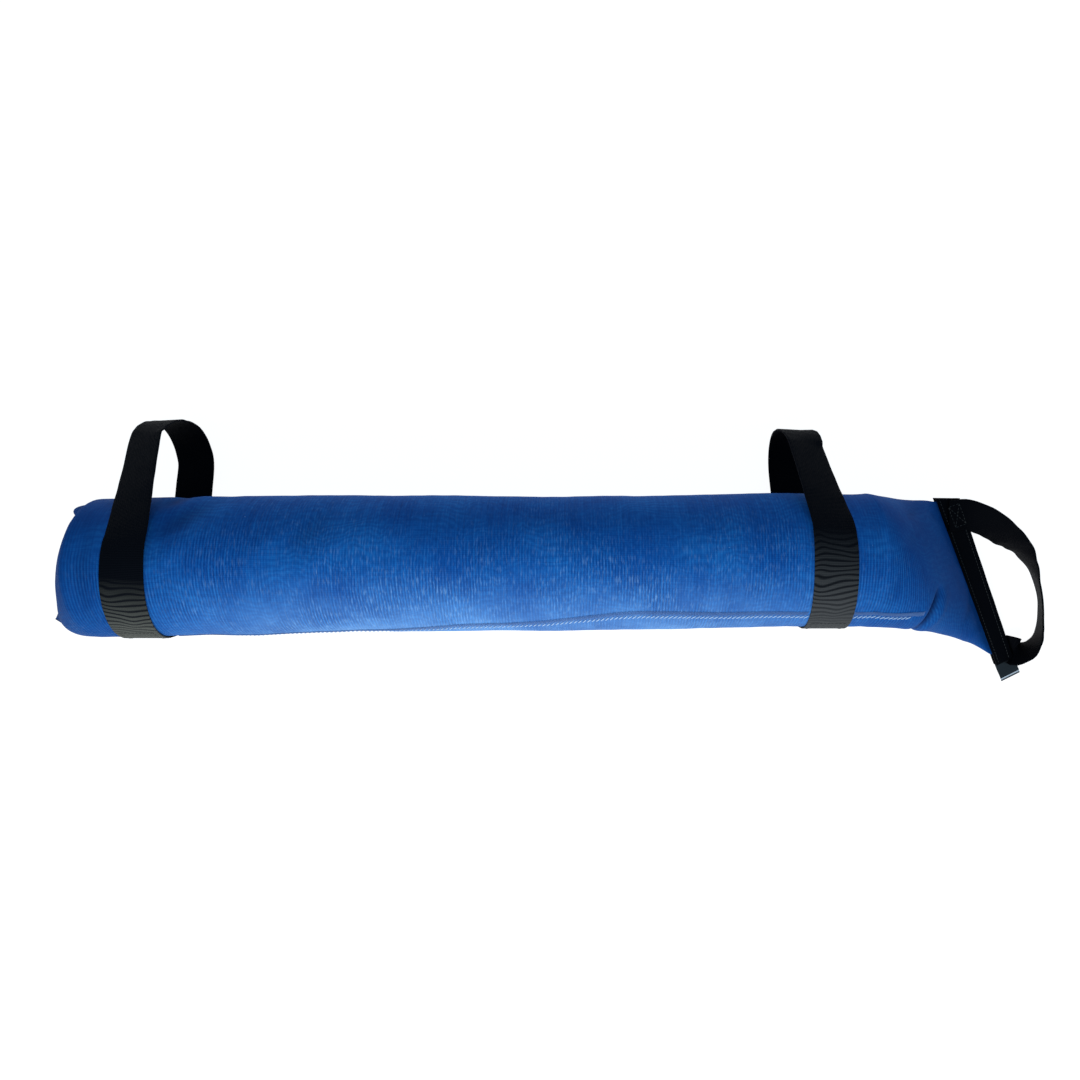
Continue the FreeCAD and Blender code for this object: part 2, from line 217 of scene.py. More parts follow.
def weave_relief(tree, pattern, split, flank):
    """Height of the weave, and how much its ribs stand out at each place."""
    # the ribs waver by less than their spacing
    waver = add_node(tree, "ShaderNodeTexNoise", {"Vector": pattern.outputs["UV"]},
                     values={"Scale": 18.0, "Detail": 2.0})
    shift = add_node(tree, "ShaderNodeMath", {0: waver.outputs["Fac"]}, operation="MULTIPLY",
                     values={1: 0.0035})
    along = add_node(tree, "ShaderNodeMath", {0: split.outputs["X"], 1: shift.outputs[0]}, operation="ADD")

    # the ribs stand out in places only, and hardly at all on the far flank
    shown = add_node(tree, "ShaderNodeMapRange", {"Value": flank.outputs[0]}, interpolation_type="SMOOTHSTEP",
                     values={"From Min": 0.075, "From Max": 0.155, "To Min": 1.0, "To Max": 0.25})
    places = add_node(tree, "ShaderNodeTexNoise", {"Vector": pattern.outputs["UV"]},
                      values={"Scale": 11.0, "Detail": 3.0, "Roughness": 0.6})
    strength = add_node(tree, "ShaderNodeMapRange", {"Value": places.outputs["Fac"]},
                        values={"From Min": 0.38, "From Max": 0.62, "To Min": 0.25, "To Max": 1.0})
    relief = add_node(tree, "ShaderNodeMath", {0: shown.outputs[0], 1: strength.outputs[0]},
                      operation="MULTIPLY")
    full_ribs = ridges(tree, along.outputs[0], RIB_SPACING)
    centred_ribs = add_node(tree, "ShaderNodeMath", {0: full_ribs}, operation="SUBTRACT", values={1: 0.5})
    ribs = add_node(tree, "ShaderNodeMath", {0: centred_ribs.outputs[0], 1: relief.outputs[0]},
                    operation="MULTIPLY_ADD", values={2: 0.5}).outputs[0]
    threads = ridges(tree, split.outputs["Y"], THREAD_SPACING)
    # threads of uneven strength: long thin noise stretched round the tube
    stretch = add_node(tree, "ShaderNodeMapping", {"Vector": pattern.outputs["UV"]},
                       values={"Scale": (420.0, 16.0, 1.0)})
    slub = add_node(tree, "ShaderNodeTexNoise", {"Vector": stretch.outputs[0]},
                    values={"Scale": 1.0, "Detail": 3.0, "Roughness": 0.6})
    cross = add_node(tree, "ShaderNodeMapping", {"Vector": pattern.outputs["UV"]},
                     values={"Scale": (40.0, 330.0, 1.0)})
    cross_slub = add_node(tree, "ShaderNodeTexNoise", {"Vector": cross.outputs[0]},
                          values={"Scale": 1.0, "Detail": 2.0})
    rib_show = add_node(tree, "ShaderNodeMath", {0: ribs, 1: slub.outputs["Fac"]}, operation="MULTIPLY")
    cross_show = add_node(tree, "ShaderNodeMath", {0: threads, 1: cross_slub.outputs["Fac"]},
                          operation="MULTIPLY")
    weave = add_node(tree, "ShaderNodeMath", {0: cross_show.outputs[0], 2: rib_show.outputs[0]},
                     operation="MULTIPLY_ADD", values={1: 0.20})
    return weave, relief


# %% [markdown]
# The weave is turned into colours in steps. Its height picks a tone from dark to pale, slow wavy bands and
# fine speckles break it up, and painted sheen on the near flank, pale threads with painted glints, painted
# shade towards both ends, scuffs and the painted shade inside creases are laid over it in turn.

# %% Finish: ribbed coated cotton
WINDOW_MIDDLE = -0.03  # where along the bag the painted light is centred, under the window


def woven_tone(tree, pattern, split, patches, weave, dark, mid, pale):
    """Tone of clean cloth."""
    # ribs seen slightly out of step make slow wavy bands; they come and go in patches
    drift = add_node(tree, "ShaderNodeTexNoise", {"Vector": pattern.outputs["UV"]},
                     values={"Scale": 24.0, "Detail": 2.0, "Distortion": 0.6})
    bent = add_node(tree, "ShaderNodeMath", {0: drift.outputs["Fac"], 2: split.outputs["Y"]},
                    operation="MULTIPLY_ADD", values={1: 0.050})
    bands = ridges(tree, bent.outputs[0], BAND_SPACING)
    band_where = add_node(tree, "ShaderNodeMapRange", {"Value": patches.outputs["Fac"]},
                          values={"From Min": 0.42, "From Max": 0.62, "To Min": 0.02, "To Max": 0.20})
    banded = add_node(tree, "ShaderNodeMath", {0: bands, 1: band_where.outputs[0]}, operation="MULTIPLY")
    speckle = add_node(tree, "ShaderNodeTexNoise", {"Vector": pattern.outputs["UV"]},
                       values={"Scale": 260.0, "Detail": 3.0, "Roughness": 0.7})
    speckled = add_node(tree, "ShaderNodeMath", {0: speckle.outputs["Fac"], 2: banded.outputs[0]},
                        operation="MULTIPLY_ADD", values={1: 0.42})
    look = add_node(tree, "ShaderNodeMath", {0: weave.outputs[0], 1: speckled.outputs[0]}, operation="ADD")
    tone = add_node(tree, "ShaderNodeValToRGB", {"Fac": look.outputs[0]})
    tone.color_ramp.elements[0].position, tone.color_ramp.elements[0].color = 0.20, hex_colour(dark)
    tone.color_ramp.elements[1].position, tone.color_ramp.elements[1].color = 0.95, hex_colour(pale)
    tone.color_ramp.elements.new(0.55).color = hex_colour(mid)
    worn = add_node(tree, "ShaderNodeMapRange", {"Value": patches.outputs["Fac"]},
                    values={"From Min": 0.4, "From Max": 0.68})
    half = add_node(tree, "ShaderNodeMath", {0: worn.outputs[0]}, operation="MULTIPLY", values={1: 0.30})
    rubbed = add_node(tree, "ShaderNodeMix", {0: half.outputs[0], 6: tone.outputs["Color"]},
                      data_type="RGBA", values={7: hex_colour(pale)})
    return rubbed


def painted_light_and_lint(tree, pattern, split, flank, patches, relief, tone, dark, dust_and_sheen):
    """Painted sheen on the near flank between the straps, pale threads with painted glints, painted shade
    towards both ends, and lint marks.
    """
    # painted sheen of the window light: the near flank is drawn paler, most between the straps
    near = add_node(tree, "ShaderNodeMapRange", {"Value": flank.outputs[0]}, interpolation_type="SMOOTHSTEP",
                    values={"From Min": 0.004, "From Max": 0.105, "To Min": 1.0, "To Max": 0.0})
    centred = add_node(tree, "ShaderNodeMath", {0: split.outputs["X"]}, operation="ADD",
                       values={1: -WINDOW_MIDDLE})
    apart = add_node(tree, "ShaderNodeMath", {0: centred.outputs[0]}, operation="ABSOLUTE")
    middle = add_node(tree, "ShaderNodeMapRange", {"Value": apart.outputs[0]},
                      interpolation_type="SMOOTHSTEP",
                      values={"From Min": 0.16, "From Max": 0.36, "To Min": 1.0, "To Max": 0.0})
    sheen_place = add_node(tree, "ShaderNodeMath", {0: near.outputs[0], 1: middle.outputs[0]}, operation="MULTIPLY")
    uneven = add_node(tree, "ShaderNodeMapRange", {"Value": patches.outputs["Fac"]},
                      values={"From Min": 0.3, "From Max": 0.7, "To Min": 0.14, "To Max": 0.50})
    amount = add_node(tree, "ShaderNodeMath", {0: sheen_place.outputs[0], 1: uneven.outputs[0]},
                      operation="MULTIPLY")
    sheened = add_node(tree, "ShaderNodeMix", {0: amount.outputs[0], 6: tone.outputs[2]},
                        data_type="RGBA", values={7: hex_colour(dust_and_sheen)})
    # single pale threads, short and thin, where the ribs stand out: painted glints, strongest on the near
    # flank in the middle of the bag
    thin = add_node(tree, "ShaderNodeMapping", {"Vector": pattern.outputs["UV"]},
                    values={"Scale": (760.0, 110.0, 1.0)})
    pale_thread = add_node(tree, "ShaderNodeTexNoise", {"Vector": thin.outputs[0]},
                           values={"Scale": 1.0, "Detail": 2.0, "Roughness": 0.6})
    bright = add_node(tree, "ShaderNodeMapRange", {"Value": pale_thread.outputs["Fac"]},
                      values={"From Min": 0.52, "From Max": 0.76, "To Min": 0.0, "To Max": 0.52})
    lit_most = add_node(tree, "ShaderNodeMapRange", {"Value": middle.outputs[0]},
                           values={"To Min": 0.25, "To Max": 1.0})
    raised = add_node(tree, "ShaderNodeMath", {0: relief.outputs[0], 1: lit_most.outputs[0]},
                      operation="MULTIPLY")
    glint = add_node(tree, "ShaderNodeMath", {0: bright.outputs[0], 1: raised.outputs[0]},
                     operation="MULTIPLY")
    streaked = add_node(tree, "ShaderNodeMix", {0: glint.outputs[0], 6: sheened.outputs[2]},
                        data_type="RGBA", values={7: hex_colour(dust_and_sheen)})
    # painted shade: the cloth is drawn darker towards both ends, away from the window light
    ends = add_node(tree, "ShaderNodeMapRange", {"Value": apart.outputs[0]}, interpolation_type="SMOOTHSTEP",
                    values={"From Min": 0.26, "From Max": 0.43, "To Min": 0.0, "To Max": 0.55})
    shaded_ends = add_node(tree, "ShaderNodeMix", {0: ends.outputs[0], 6: streaked.outputs[2]}, data_type="RGBA",
                    values={7: hex_colour(dark)})
    # lint and scuffs: a few thin pale marks
    lint_place = add_node(tree, "ShaderNodeMapping", {"Vector": pattern.outputs["UV"]},
                          values={"Scale": (1.0, 2.6, 1.0), "Rotation": (0, 0, 0.5)})
    lint = add_node(tree, "ShaderNodeTexNoise", {"Vector": lint_place.outputs[0]},
                    values={"Scale": 95.0, "Detail": 5.0, "Roughness": 0.72, "Distortion": 1.5})
    mark = add_node(tree, "ShaderNodeMapRange", {"Value": lint.outputs["Fac"]},
                    values={"From Min": 0.69, "From Max": 0.76, "To Min": 0.0, "To Max": 0.55})
    scuffed = add_node(tree, "ShaderNodeMix", {0: mark.outputs[0], 6: shaded_ends.outputs[2]}, data_type="RGBA",
                       values={7: hex_colour(dust_and_sheen)})
    return scuffed


def make_cloth(name, dark, mid, pale, dust_and_sheen):
    material, tree = new_material(name)
    pattern = add_node(tree, "ShaderNodeUVMap", uv_map="flat_pattern")
    split = add_node(tree, "ShaderNodeSeparateXYZ", {"Vector": pattern.outputs["UV"]})
    # 0 along the near side, half the way round on the far side
    flank = add_node(tree, "ShaderNodeMath", {0: split.outputs["Y"]}, operation="PINGPONG",
                     values={1: 0.204})
    patches = add_node(tree, "ShaderNodeTexNoise", {"Vector": pattern.outputs["UV"]},
                       values={"Scale": 14.0, "Detail": 4.0, "Roughness": 0.6})
    weave, relief = weave_relief(tree, pattern, split, flank)
    tone = woven_tone(tree, pattern, split, patches, weave, dark, mid, pale)
    scuffed = painted_light_and_lint(tree, pattern, split, flank, patches, relief, tone, dark, dust_and_sheen)
    # painted shade inside the creases: the cloth is drawn darker where press_creases pushed it in
    crease_painted_shade = add_node(tree, "ShaderNodeAttribute", attribute_name="crease_painted_shade")
    crease_shaded = add_node(tree, "ShaderNodeMix", {0: crease_painted_shade.outputs["Fac"], 6: scuffed.outputs[2]},
                       data_type="RGBA", values={7: hex_colour("010B33")})
    bump = add_node(tree, "ShaderNodeBump", {"Height": weave.outputs[0]},
                    values={"Strength": 0.35, "Distance": 0.0004})
    cloth = add_node(tree, "ShaderNodeBsdfPrincipled",
                     {"Base Color": crease_shaded.outputs[2], "Normal": bump.outputs["Normal"]},
                     values={"Roughness": 0.75, "Specular IOR Level": 0.06})
    add_node(tree, "ShaderNodeOutputMaterial", {"Surface": cloth.outputs[0]})
    return material


BLUE_CLOTH = make_cloth("ribbed_coated_cotton", "04346F", "0A4A94", "1B6BB4", "86B2E0")
print("finish", BLUE_CLOTH.name)

# %% [markdown]
# The webbing is black polypropylene, woven flat with fine ribs across its width. Pressed on the bag its
# ribs make slow wavy bands. Where a strap crosses the near flank it is painted paler, a painted sheen of the
# low window light, and the bands show there as painted shine.

# %% Finish: black webbing
def make_webbing(name, dark, mid, pale, lit_length):
    """Black tape. Over its first lit_length it is painted paler, a painted sheen of the window light, and
    shows its wavy bands.
    """
    material, tree = new_material(name)
    pattern = add_node(tree, "ShaderNodeUVMap", uv_map="flat_pattern")
    split = add_node(tree, "ShaderNodeSeparateXYZ", {"Vector": pattern.outputs["UV"]})
    turn = add_node(tree, "ShaderNodeMath", {0: split.outputs["Y"]}, operation="MULTIPLY",
                    values={1: 2 * math.pi / 0.0015})
    ribs = add_node(tree, "ShaderNodeMath", {0: turn.outputs[0]}, operation="SINE")
    weft = add_node(tree, "ShaderNodeMath", {0: split.outputs["X"]}, operation="MULTIPLY",
                    values={1: 2 * math.pi / 0.0021})
    wefts = add_node(tree, "ShaderNodeMath", {0: weft.outputs[0]}, operation="SINE")
    relief = add_node(tree, "ShaderNodeMath", {0: wefts.outputs[0], 2: ribs.outputs[0]},
                      operation="MULTIPLY_ADD", values={1: 0.35})
    bend = add_node(tree, "ShaderNodeTexNoise", {"Vector": pattern.outputs["UV"]},
                    values={"Scale": 26.0, "Detail": 1.0, "Distortion": 0.3})
    swell = add_node(tree, "ShaderNodeMath", {0: bend.outputs["Fac"], 2: split.outputs["Y"]},
                     operation="MULTIPLY_ADD", values={1: 0.026})
    slow = add_node(tree, "ShaderNodeMath", {0: swell.outputs[0]}, operation="MULTIPLY",
                    values={1: 2 * math.pi / 0.0050})
    shown = add_node(tree, "ShaderNodeMath", {0: slow.outputs[0]}, operation="SINE")
    fall = add_node(tree, "ShaderNodeMapRange", {"Value": split.outputs["Y"]},
                    values={"From Min": lit_length * 0.45, "From Max": lit_length,
                            "To Min": 1.0, "To Max": 0.0})
    rise = add_node(tree, "ShaderNodeMapRange", {"Value": split.outputs["Y"]}, values={"From Max": 0.014})
    lit = add_node(tree, "ShaderNodeMath", {0: fall.outputs[0], 1: rise.outputs[0]}, operation="MULTIPLY")
    level = add_node(tree, "ShaderNodeMapRange", {"Value": shown.outputs[0]},
                     values={"From Min": -0.9, "From Max": 0.2})
    lines = add_node(tree, "ShaderNodeMapRange", {"Value": split.outputs["Y"]},
                     values={"From Min": lit_length * 0.2, "From Max": lit_length * 0.6,
                             "To Min": 0.85, "To Max": 0.0})
    softened = add_node(tree, "ShaderNodeMath", {0: level.outputs[0], 1: lines.outputs[0]},
                        operation="MAXIMUM")
    banded = add_node(tree, "ShaderNodeMix", {0: softened.outputs[0]}, data_type="RGBA",
                      values={6: hex_colour(mid), 7: hex_colour(pale)})
    tone = add_node(tree, "ShaderNodeMix", {0: lit.outputs[0], 7: banded.outputs[2]}, data_type="RGBA",
                    values={6: hex_colour(dark)})
    bump = add_node(tree, "ShaderNodeBump", {"Height": relief.outputs[0]},
                    values={"Strength": 0.4, "Distance": 0.0003})
    tape = add_node(tree, "ShaderNodeBsdfPrincipled",
                    {"Base Color": tone.outputs[2], "Normal": bump.outputs["Normal"]},
                    values={"Roughness": 0.6, "Specular IOR Level": 0.02})
    add_node(tree, "ShaderNodeOutputMaterial", {"Surface": tape.outputs[0]})
    return material


BLACK_WEBBING = make_webbing("black_ribbed_webbing", "05060A", "05060A", "0E1014", 0.001)
# the first stretch of each strap's upper tape lies on the near flank and gets the painted sheen
SHEENED_STRAP_WEBBING = {"left": make_webbing("black_webbing_left_strap_painted_sheen", "080A10", "17191E", "50514C", 0.096),
                 "right": make_webbing("black_webbing_right_strap_painted_sheen", "080A10", "15171B", "404142", 0.130)}
print("finishes", BLACK_WEBBING.name, [m.name for m in SHEENED_STRAP_WEBBING.values()])

# %% [markdown]
# Sewing thread is polyester, twisted from fine strands; at this scale only its twist shows, as thin
# slanting bands.

# %% Finish: sewing threads
def make_thread(name, colour):
    material, tree = new_material(name)
    place = add_node(tree, "ShaderNodeTexCoord")
    twist = add_node(tree, "ShaderNodeTexWave", {"Vector": place.outputs["Object"]},
                     values={"Scale": 900.0, "Distortion": 1.0})
    tone = add_node(tree, "ShaderNodeValToRGB", {"Fac": twist.outputs["Fac"]})
    tone.color_ramp.elements[0].color = tuple(c * 0.6 for c in hex_colour(colour)[:3]) + (1.0,)
    tone.color_ramp.elements[1].color = hex_colour(colour)
    bump = add_node(tree, "ShaderNodeBump", {"Height": twist.outputs["Fac"]},
                    values={"Strength": 0.3, "Distance": 0.0001})
    thread = add_node(tree, "ShaderNodeBsdfPrincipled",
                      {"Base Color": tone.outputs["Color"], "Normal": bump.outputs["Normal"]},
                      values={"Roughness": 0.6})
    add_node(tree, "ShaderNodeOutputMaterial", {"Surface": thread.outputs[0]})
    return material


BLUE_THREAD = make_thread("blue_polyester_thread", "9DBDE4")
SEAM_THREAD = make_thread("grey_blue_overlock_thread", "3D68A6")
BLACK_THREAD = make_thread("black_polyester_thread", "0A0C10")
print("finishes", BLUE_THREAD.name, BLACK_THREAD.name)

# %% [markdown]
# The stuffed shell is one closed skin. Rings of points are laid from the folded end to the sewn end, each
# joined to the next, and every point remembers its place on the flat cloth for the weave. The ends turn
# from round to flat.

# %% Shell: rings from end to end
AROUND = 84            # points in one ring
ROUND_THE_CLOTH = 0.408  # width of the flat cloth, once round the tube
FOLD_RINGS, TUBE_RINGS, SEWN_RINGS = 24, 144, 34
FOLD_CLOTH, SEWN_CLOTH = 0.085, 0.150  # cloth used up by each end
FOLD_SWELL = 1.35      # how full the folded end stays before it closes


def floor_height(x):
    """Underside of the cloth: higher over the tucked flap at the folded end."""
    t = min(max((x + 0.412) / 0.016, 0.0), 1.0)
    return mix(0.0060, FLOOR_GAP, t * t * (3 - 2 * t))


def ring(centre, along, up, half_width, half_height, bow=Vector()):
    """Points of one oval. bow carries its middle outwards and leaves its two sides."""
    points = []
    for k in range(AROUND):
        turn = 2 * math.pi * k / AROUND
        p = centre + along * (half_width * math.cos(turn)) + up * (half_height * math.sin(turn))
        p += bow * math.sin(turn) ** 2
        p.z = max(p.z, floor_height(p.x))
        points.append(p)
    return points


SLANT_CUT = 0.51  # how far the far corner is cut back for each metre outwards
# Side lines of both ends in millimetres: where the cloth turns over on the far and on the near side.
FOLD_FAR_LINE = ((-420, 52.8, 60), (-427, 49.6, 57), (-430, 44.5, 53), (-431, 37, 48), (-432, 28, 43))
FOLD_NEAR_LINE = ((-420, -78.8, 61), (-443, -78.0, 46), (-464, -74.0, 31), (-483, -70.0, 20),
                  (-499, -65.0, 12))
SEWN_FAR_LINE = ((300, 57.6, 61), (313, 55.6, 61), (326, 53.9, 60.5), (339, 52.4, 59), (352, 51.6, 56.5),
                 (364, 51.8, 53), (375.8, 50.8, 49.6))
SEWN_NEAR_LINE = ((300, -69.2, 61), (326, -70.0, 55), (352, -72.6, 45), (378, -75.6, 34), (404, -81.5, 24),
                  (430, -90.5, 16), (451.6, -102.1, 9.2))


def side_ring(t, far_line, near_line, half_height, bow=Vector()):
    """Ring hung between its two side lines at share t of the way."""
    far, near = along_line(far_line, t) / 1000, along_line(near_line, t) / 1000
    along = (near - far) / 2
    up = Vector((1, 0, 0)).cross(along).normalized()
    up = up if up.z > 0 else -up
    return ring((near + far) / 2, along, up, 1.0, half_height, bow)


def shell_rings():
    rings, flat_x = [], []
    left_radius, right_radius = radius_at(TUBE_START), radius_at(TUBE_END)
    for k in range(FOLD_RINGS, 0, -1):
        t = math.sin(math.pi / 2 * k / FOLD_RINGS)
        half_height = left_radius * max(1 - t ** FOLD_SWELL, 0.0) ** (1 / FOLD_SWELL)
        rings.append(side_ring(t, FOLD_FAR_LINE, FOLD_NEAR_LINE, half_height,
                               Vector((-0.0020, 0.0005, 0)) * t ** 3))
        flat_x.append(TUBE_START - FOLD_CLOTH * k / FOLD_RINGS)
    for k in range(TUBE_RINGS + 1):
        x = mix(TUBE_START, TUBE_END, k / TUBE_RINGS)
        radius = radius_at(x)
        rings.append(ring(Vector((x, middle_y(x), middle_z(x))), Vector((0, -1, 0)), UPRIGHT, radius, radius))
        flat_x.append(x)
    for k in range(1, SEWN_RINGS + 1):
        t = k / SEWN_RINGS
        rings.append(side_ring(t, SEWN_FAR_LINE, SEWN_NEAR_LINE,
                               0.0012 + right_radius * math.cos(math.pi / 2 * t) ** 0.8))
        flat_x.append(TUBE_END + SEWN_CLOTH * t)
    flange = rings[-1]
    for out in (0.006, 0.012, 0.017):
        # the far corner is cut back aslant
        farness = [0.5 - 0.5 * math.cos(2 * math.pi * k / AROUND) for k in range(AROUND)]
        rings.append([p + SEAM_OUT * out + SEAM_RUN * (SLANT_CUT * out * farness[k])
                      for k, p in enumerate(flange)])
        flat_x.append(flat_x[-1] + 0.006)
    return rings, flat_x


def build_shell(name):
    rings, flat_x = shell_rings()
    points = [tuple(p) for one in rings for p in one]
    faces = []
    for i in range(len(rings) - 1):
        for k in range(AROUND):
            j = (k + 1) % AROUND
            faces.append((i * AROUND + k, i * AROUND + j, (i + 1) * AROUND + j, (i + 1) * AROUND + k))
    last = (len(rings) - 1) * AROUND
    half = AROUND // 2
    for base in (0, last):  # the two ends close flat, top to bottom
        for k in range(half):
            a, b = base + k, base + k + 1
            c, d = base + (AROUND - k - 1) % AROUND, base + (AROUND - k) % AROUND
            if k == 0:
                faces.append((a, b, c))
            elif k == half - 1:
                faces.append((a, b, d))
            else:
                faces.append((a, b, c, d))
    mesh = bpy.data.meshes.new(name)
    mesh.from_pydata(points, [], faces)
    mesh.update()
    shell = bpy.data.objects.new(name, mesh)
    bpy.context.scene.collection.objects.link(shell)
    pattern = mesh.uv_layers.new(name="flat_pattern")
    for face in mesh.polygons:
        columns = [mesh.loops[i].vertex_index % AROUND for i in face.loop_indices]
        wraps = max(columns) > AROUND * 0.75 and min(columns) < AROUND * 0.25
        for i, column in zip(face.loop_indices, columns):
            row = mesh.loops[i].vertex_index // AROUND
            around = column + (AROUND if wraps and column < AROUND / 2 else 0)
            pattern.data[i].uv = (flat_x[row], ROUND_THE_CLOTH * around / AROUND)
    pick(shell)
    bpy.ops.object.mode_set(mode="EDIT")
    bpy.ops.mesh.select_all(action="SELECT")
    bpy.ops.mesh.normals_make_consistent(inside=False)
    bpy.ops.object.mode_set(mode="OBJECT")
    return shell


shell = build_shell("cloth_shell")
print("shell has", len(shell.data.vertices), "points")

# %% [markdown]
# Cloth that is a little too large for its filling buckles into soft folds. The skin is let out by a few
# percent, blown up gently and stopped after twenty steps. It is held where the straps grip it, along the
# sewn end and where it rests on the floor. No point may move further than the cap.

# %% Shell: cloth simulation
STRAP_X = {"left": -0.368, "right": 0.2565}
LEAST_HOLD = 0.35  # how firmly the cloth is held where nothing grips it


def hold_weight(p):
    """1 where the cloth is gripped, 0 where it is free."""
    holds = []
    for x in STRAP_X.values():
        holds.append(1 - min(max((abs(p.x - x) - 0.019) / 0.014, 0), 1))
    out = (p - SEAM_MIDDLE).dot(SEAM_OUT)
    holds.append(min(max((out + 0.010) / 0.008, 0), 1))
    holds.append(1.0 if p.z < floor_height(p.x) + 0.0006 else 0.0)
    return max(holds + [LEAST_HOLD])


def relax_cloth(piece, cap, frames=20):
    start = np.array([v.co for v in piece.data.vertices])
    group = piece.vertex_groups.new(name="held")
    for v in piece.data.vertices:
        group.add([v.index], hold_weight(v.co), "REPLACE")
    cloth = piece.modifiers.new("cloth", "CLOTH")
    settings = cloth.settings
    settings.quality = 6
    settings.mass = 0.3
    settings.tension_stiffness = settings.compression_stiffness = 12
    settings.shear_stiffness = 5
    settings.bending_stiffness = 0.6
    settings.vertex_group_mass = "held"
    settings.pin_stiffness = 1.0
    settings.shrink_min = -0.035
    settings.use_pressure = True
    settings.uniform_pressure_force = 4.0
    settings.effector_weights.gravity = 0
    cloth.collision_settings.use_collision = False
    scene = bpy.context.scene
    scene.frame_start, scene.frame_end = 1, frames
    for step in range(1, frames + 1):
        scene.frame_set(step)
    pick(piece)
    bpy.ops.object.modifier_apply(modifier=cloth.name)
    scene.frame_set(1)
    moved = np.array([v.co for v in piece.data.vertices]) - start
    far = np.linalg.norm(moved, axis=1, keepdims=True)
    moved *= np.minimum(1, cap / np.maximum(far, 1e-9))
    print("cloth moved up to", round(float(far.max()) * 1000, 1), "mm")
    for v, p in zip(piece.data.vertices, start + moved):
        v.co = p
        v.co.z = max(v.co.z, floor_height(v.co.x) - 0.0002)
    piece.vertex_groups.clear()


relax_cloth(shell, 0.007)

# %% [markdown]
# Handling leaves creases that the cloth keeps: a pinch beside the sewn end, shallow hollows slanting away
# from the left strap, and a small ear where the folded end's corner stands up. Each is pressed in along a
# short line, deepest in its middle and fading to nothing at its sides, after the skin has been made finer.

# %% Shell: creases and finish
# In millimetres: both ends of each line in X and Y, half its width, how far the cloth is pushed out.
CREASES = (
    ((351, -72), (361, -34), 3.6, -5.0), ((361, -70), (370, -38), 5.0, 2.4),
    ((341, -66), (348, -42), 6.0, 1.2), ((-346, 14), (-300, 46), 13.0, -2.2),
    ((-342, -16), (-306, 20), 9.0, 1.3), ((-348, 44), (-330, 56), 8.0, -2.0),
    ((-226, 4), (-186, 36), 13.0, -1.3), ((-214, -22), (-178, 14), 9.0, 0.9),
    ((-262, -10), (-232, 20), 9.0, 0.6), ((-130, -4), (-96, 26), 14.0, -0.7),
    ((-20, 22), (40, 30), 12.0, 0.6), ((-446, 18), (-432, 28), 4.5, -4.5),
    ((-428, 50), (-425, 32), 3.0, -3.2), ((-404, -72), (-398, 30), 9.0, -1.2),
    ((-470, -60), (-452, -18), 8.0, -1.3), ((-492, -58), (-474, -70), 5.0, -1.4),
    ((300, -62), (318, -10), 11.0, -0.9), ((332, 34), (352, 44), 6.0, -1.1),
    ((322, 6), (340, 22), 10.0, -0.8), ((404, -66), (420, -40), 5.0, -1.2),
    ((396, -10), (412, -34), 6.0, 0.9), ((352, 0), (372, 26), 7.0, 0.7),
    ((418, -82), (436, -74), 5.0, 1.0), ((362, 40), (376, 30), 5.0, -1.0),
)
EAR_AT, EAR_MOVE = Vector((-0.4330, 0.0400, 0.0610)), Vector((-0.0210, 0.0030, -0.0040))
EAR_SIZE = 0.0105


def how_free(p):
    """Share of a crease that the cloth takes up here, less where it is gripped."""
    least = 0.35 if p.x > 0 else 1.0
    return max(1 - max(hold_weight(p) - LEAST_HOLD, 0) / (1 - LEAST_HOLD), least)


def press_creases(piece):
    spots = np.array([v.co for v in piece.data.vertices]) * 1000
    normals = np.array([v.normal for v in piece.data.vertices])
    push = np.zeros(len(spots))
    for start, end, half_width, depth in CREASES:
        a, run = np.array(start, float), np.array(end, float) - np.array(start, float)
        share = ((spots[:, :2] - a) @ run) / (run @ run)
        inside = np.clip(share, 0, 1)
        gap = np.linalg.norm(spots[:, :2] - a - inside[:, None] * run, axis=1)
        fade = 0.45 + 0.55 * np.sin(np.pi * inside)
        push += depth * fade * np.exp(-(gap / half_width) ** 2) * (spots[:, 2] > 14)
    give = np.array([how_free(v.co) for v in piece.data.vertices])
    ripple = np.array([noise.noise(Vector(p) * 0.022) * 0.8 + noise.noise(Vector(p) * 0.07) * 0.25
                       for p in spots])
    spots += normals * ((push + ripple) * give)[:, None]
    for v, p in zip(piece.data.vertices, spots / 1000):
        v.co = p
        v.co.z = max(v.co.z, floor_height(v.co.x) - 0.0002)
    # one corner of the folded end stands out as a small ear
    for v in piece.data.vertices:
        near_ear = math.exp(-((v.co - EAR_AT).length / EAR_SIZE) ** 3)
        v.co += EAR_MOVE * near_ear
    # painted shade for the cloth: how far each point was pushed in, kept as a darkening share
    shade = piece.data.attributes.new("crease_painted_shade", "FLOAT", "POINT")
    shade.data.foreach_set("value", np.clip(-push / 4.0 - 0.12, 0, 0.85))
    print("creases pushed the cloth up to", round(float(np.abs(push * give).max()), 1), "mm")


pick(shell)
smooth = shell.modifiers.new("rounder", "SUBSURF")
smooth.levels = smooth.render_levels = 1
bpy.ops.object.modifier_apply(modifier=smooth.name)
press_creases(shell)
bpy.ops.object.shade_smooth()
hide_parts("shell_tube", "shell_folded_end", "shell_sewn_end")
finish_piece(shell, BLUE_CLOTH)

# %% [markdown]
# The sheet of cloth is closed along the bag by an overlocked seam: a raised lip of grey-blue loops with a
# row of slanting stitches beside it. It wanders from low on the near side to higher up the tube. Every
# stitch is one short bead of thread, copied along the line and set down on the cloth under it.

# %% Stitch maker and the long seam
cloth_tree = BVHTree.FromObject(shell, bpy.context.evaluated_depsgraph_get())
SEAM_X = (-0.40, -0.343, -0.203, -0.041, 0.086, 0.195, 0.300, 0.352)
SEAM_TURN = (178, 176, 170, 151, 138, 141, 143, 147)


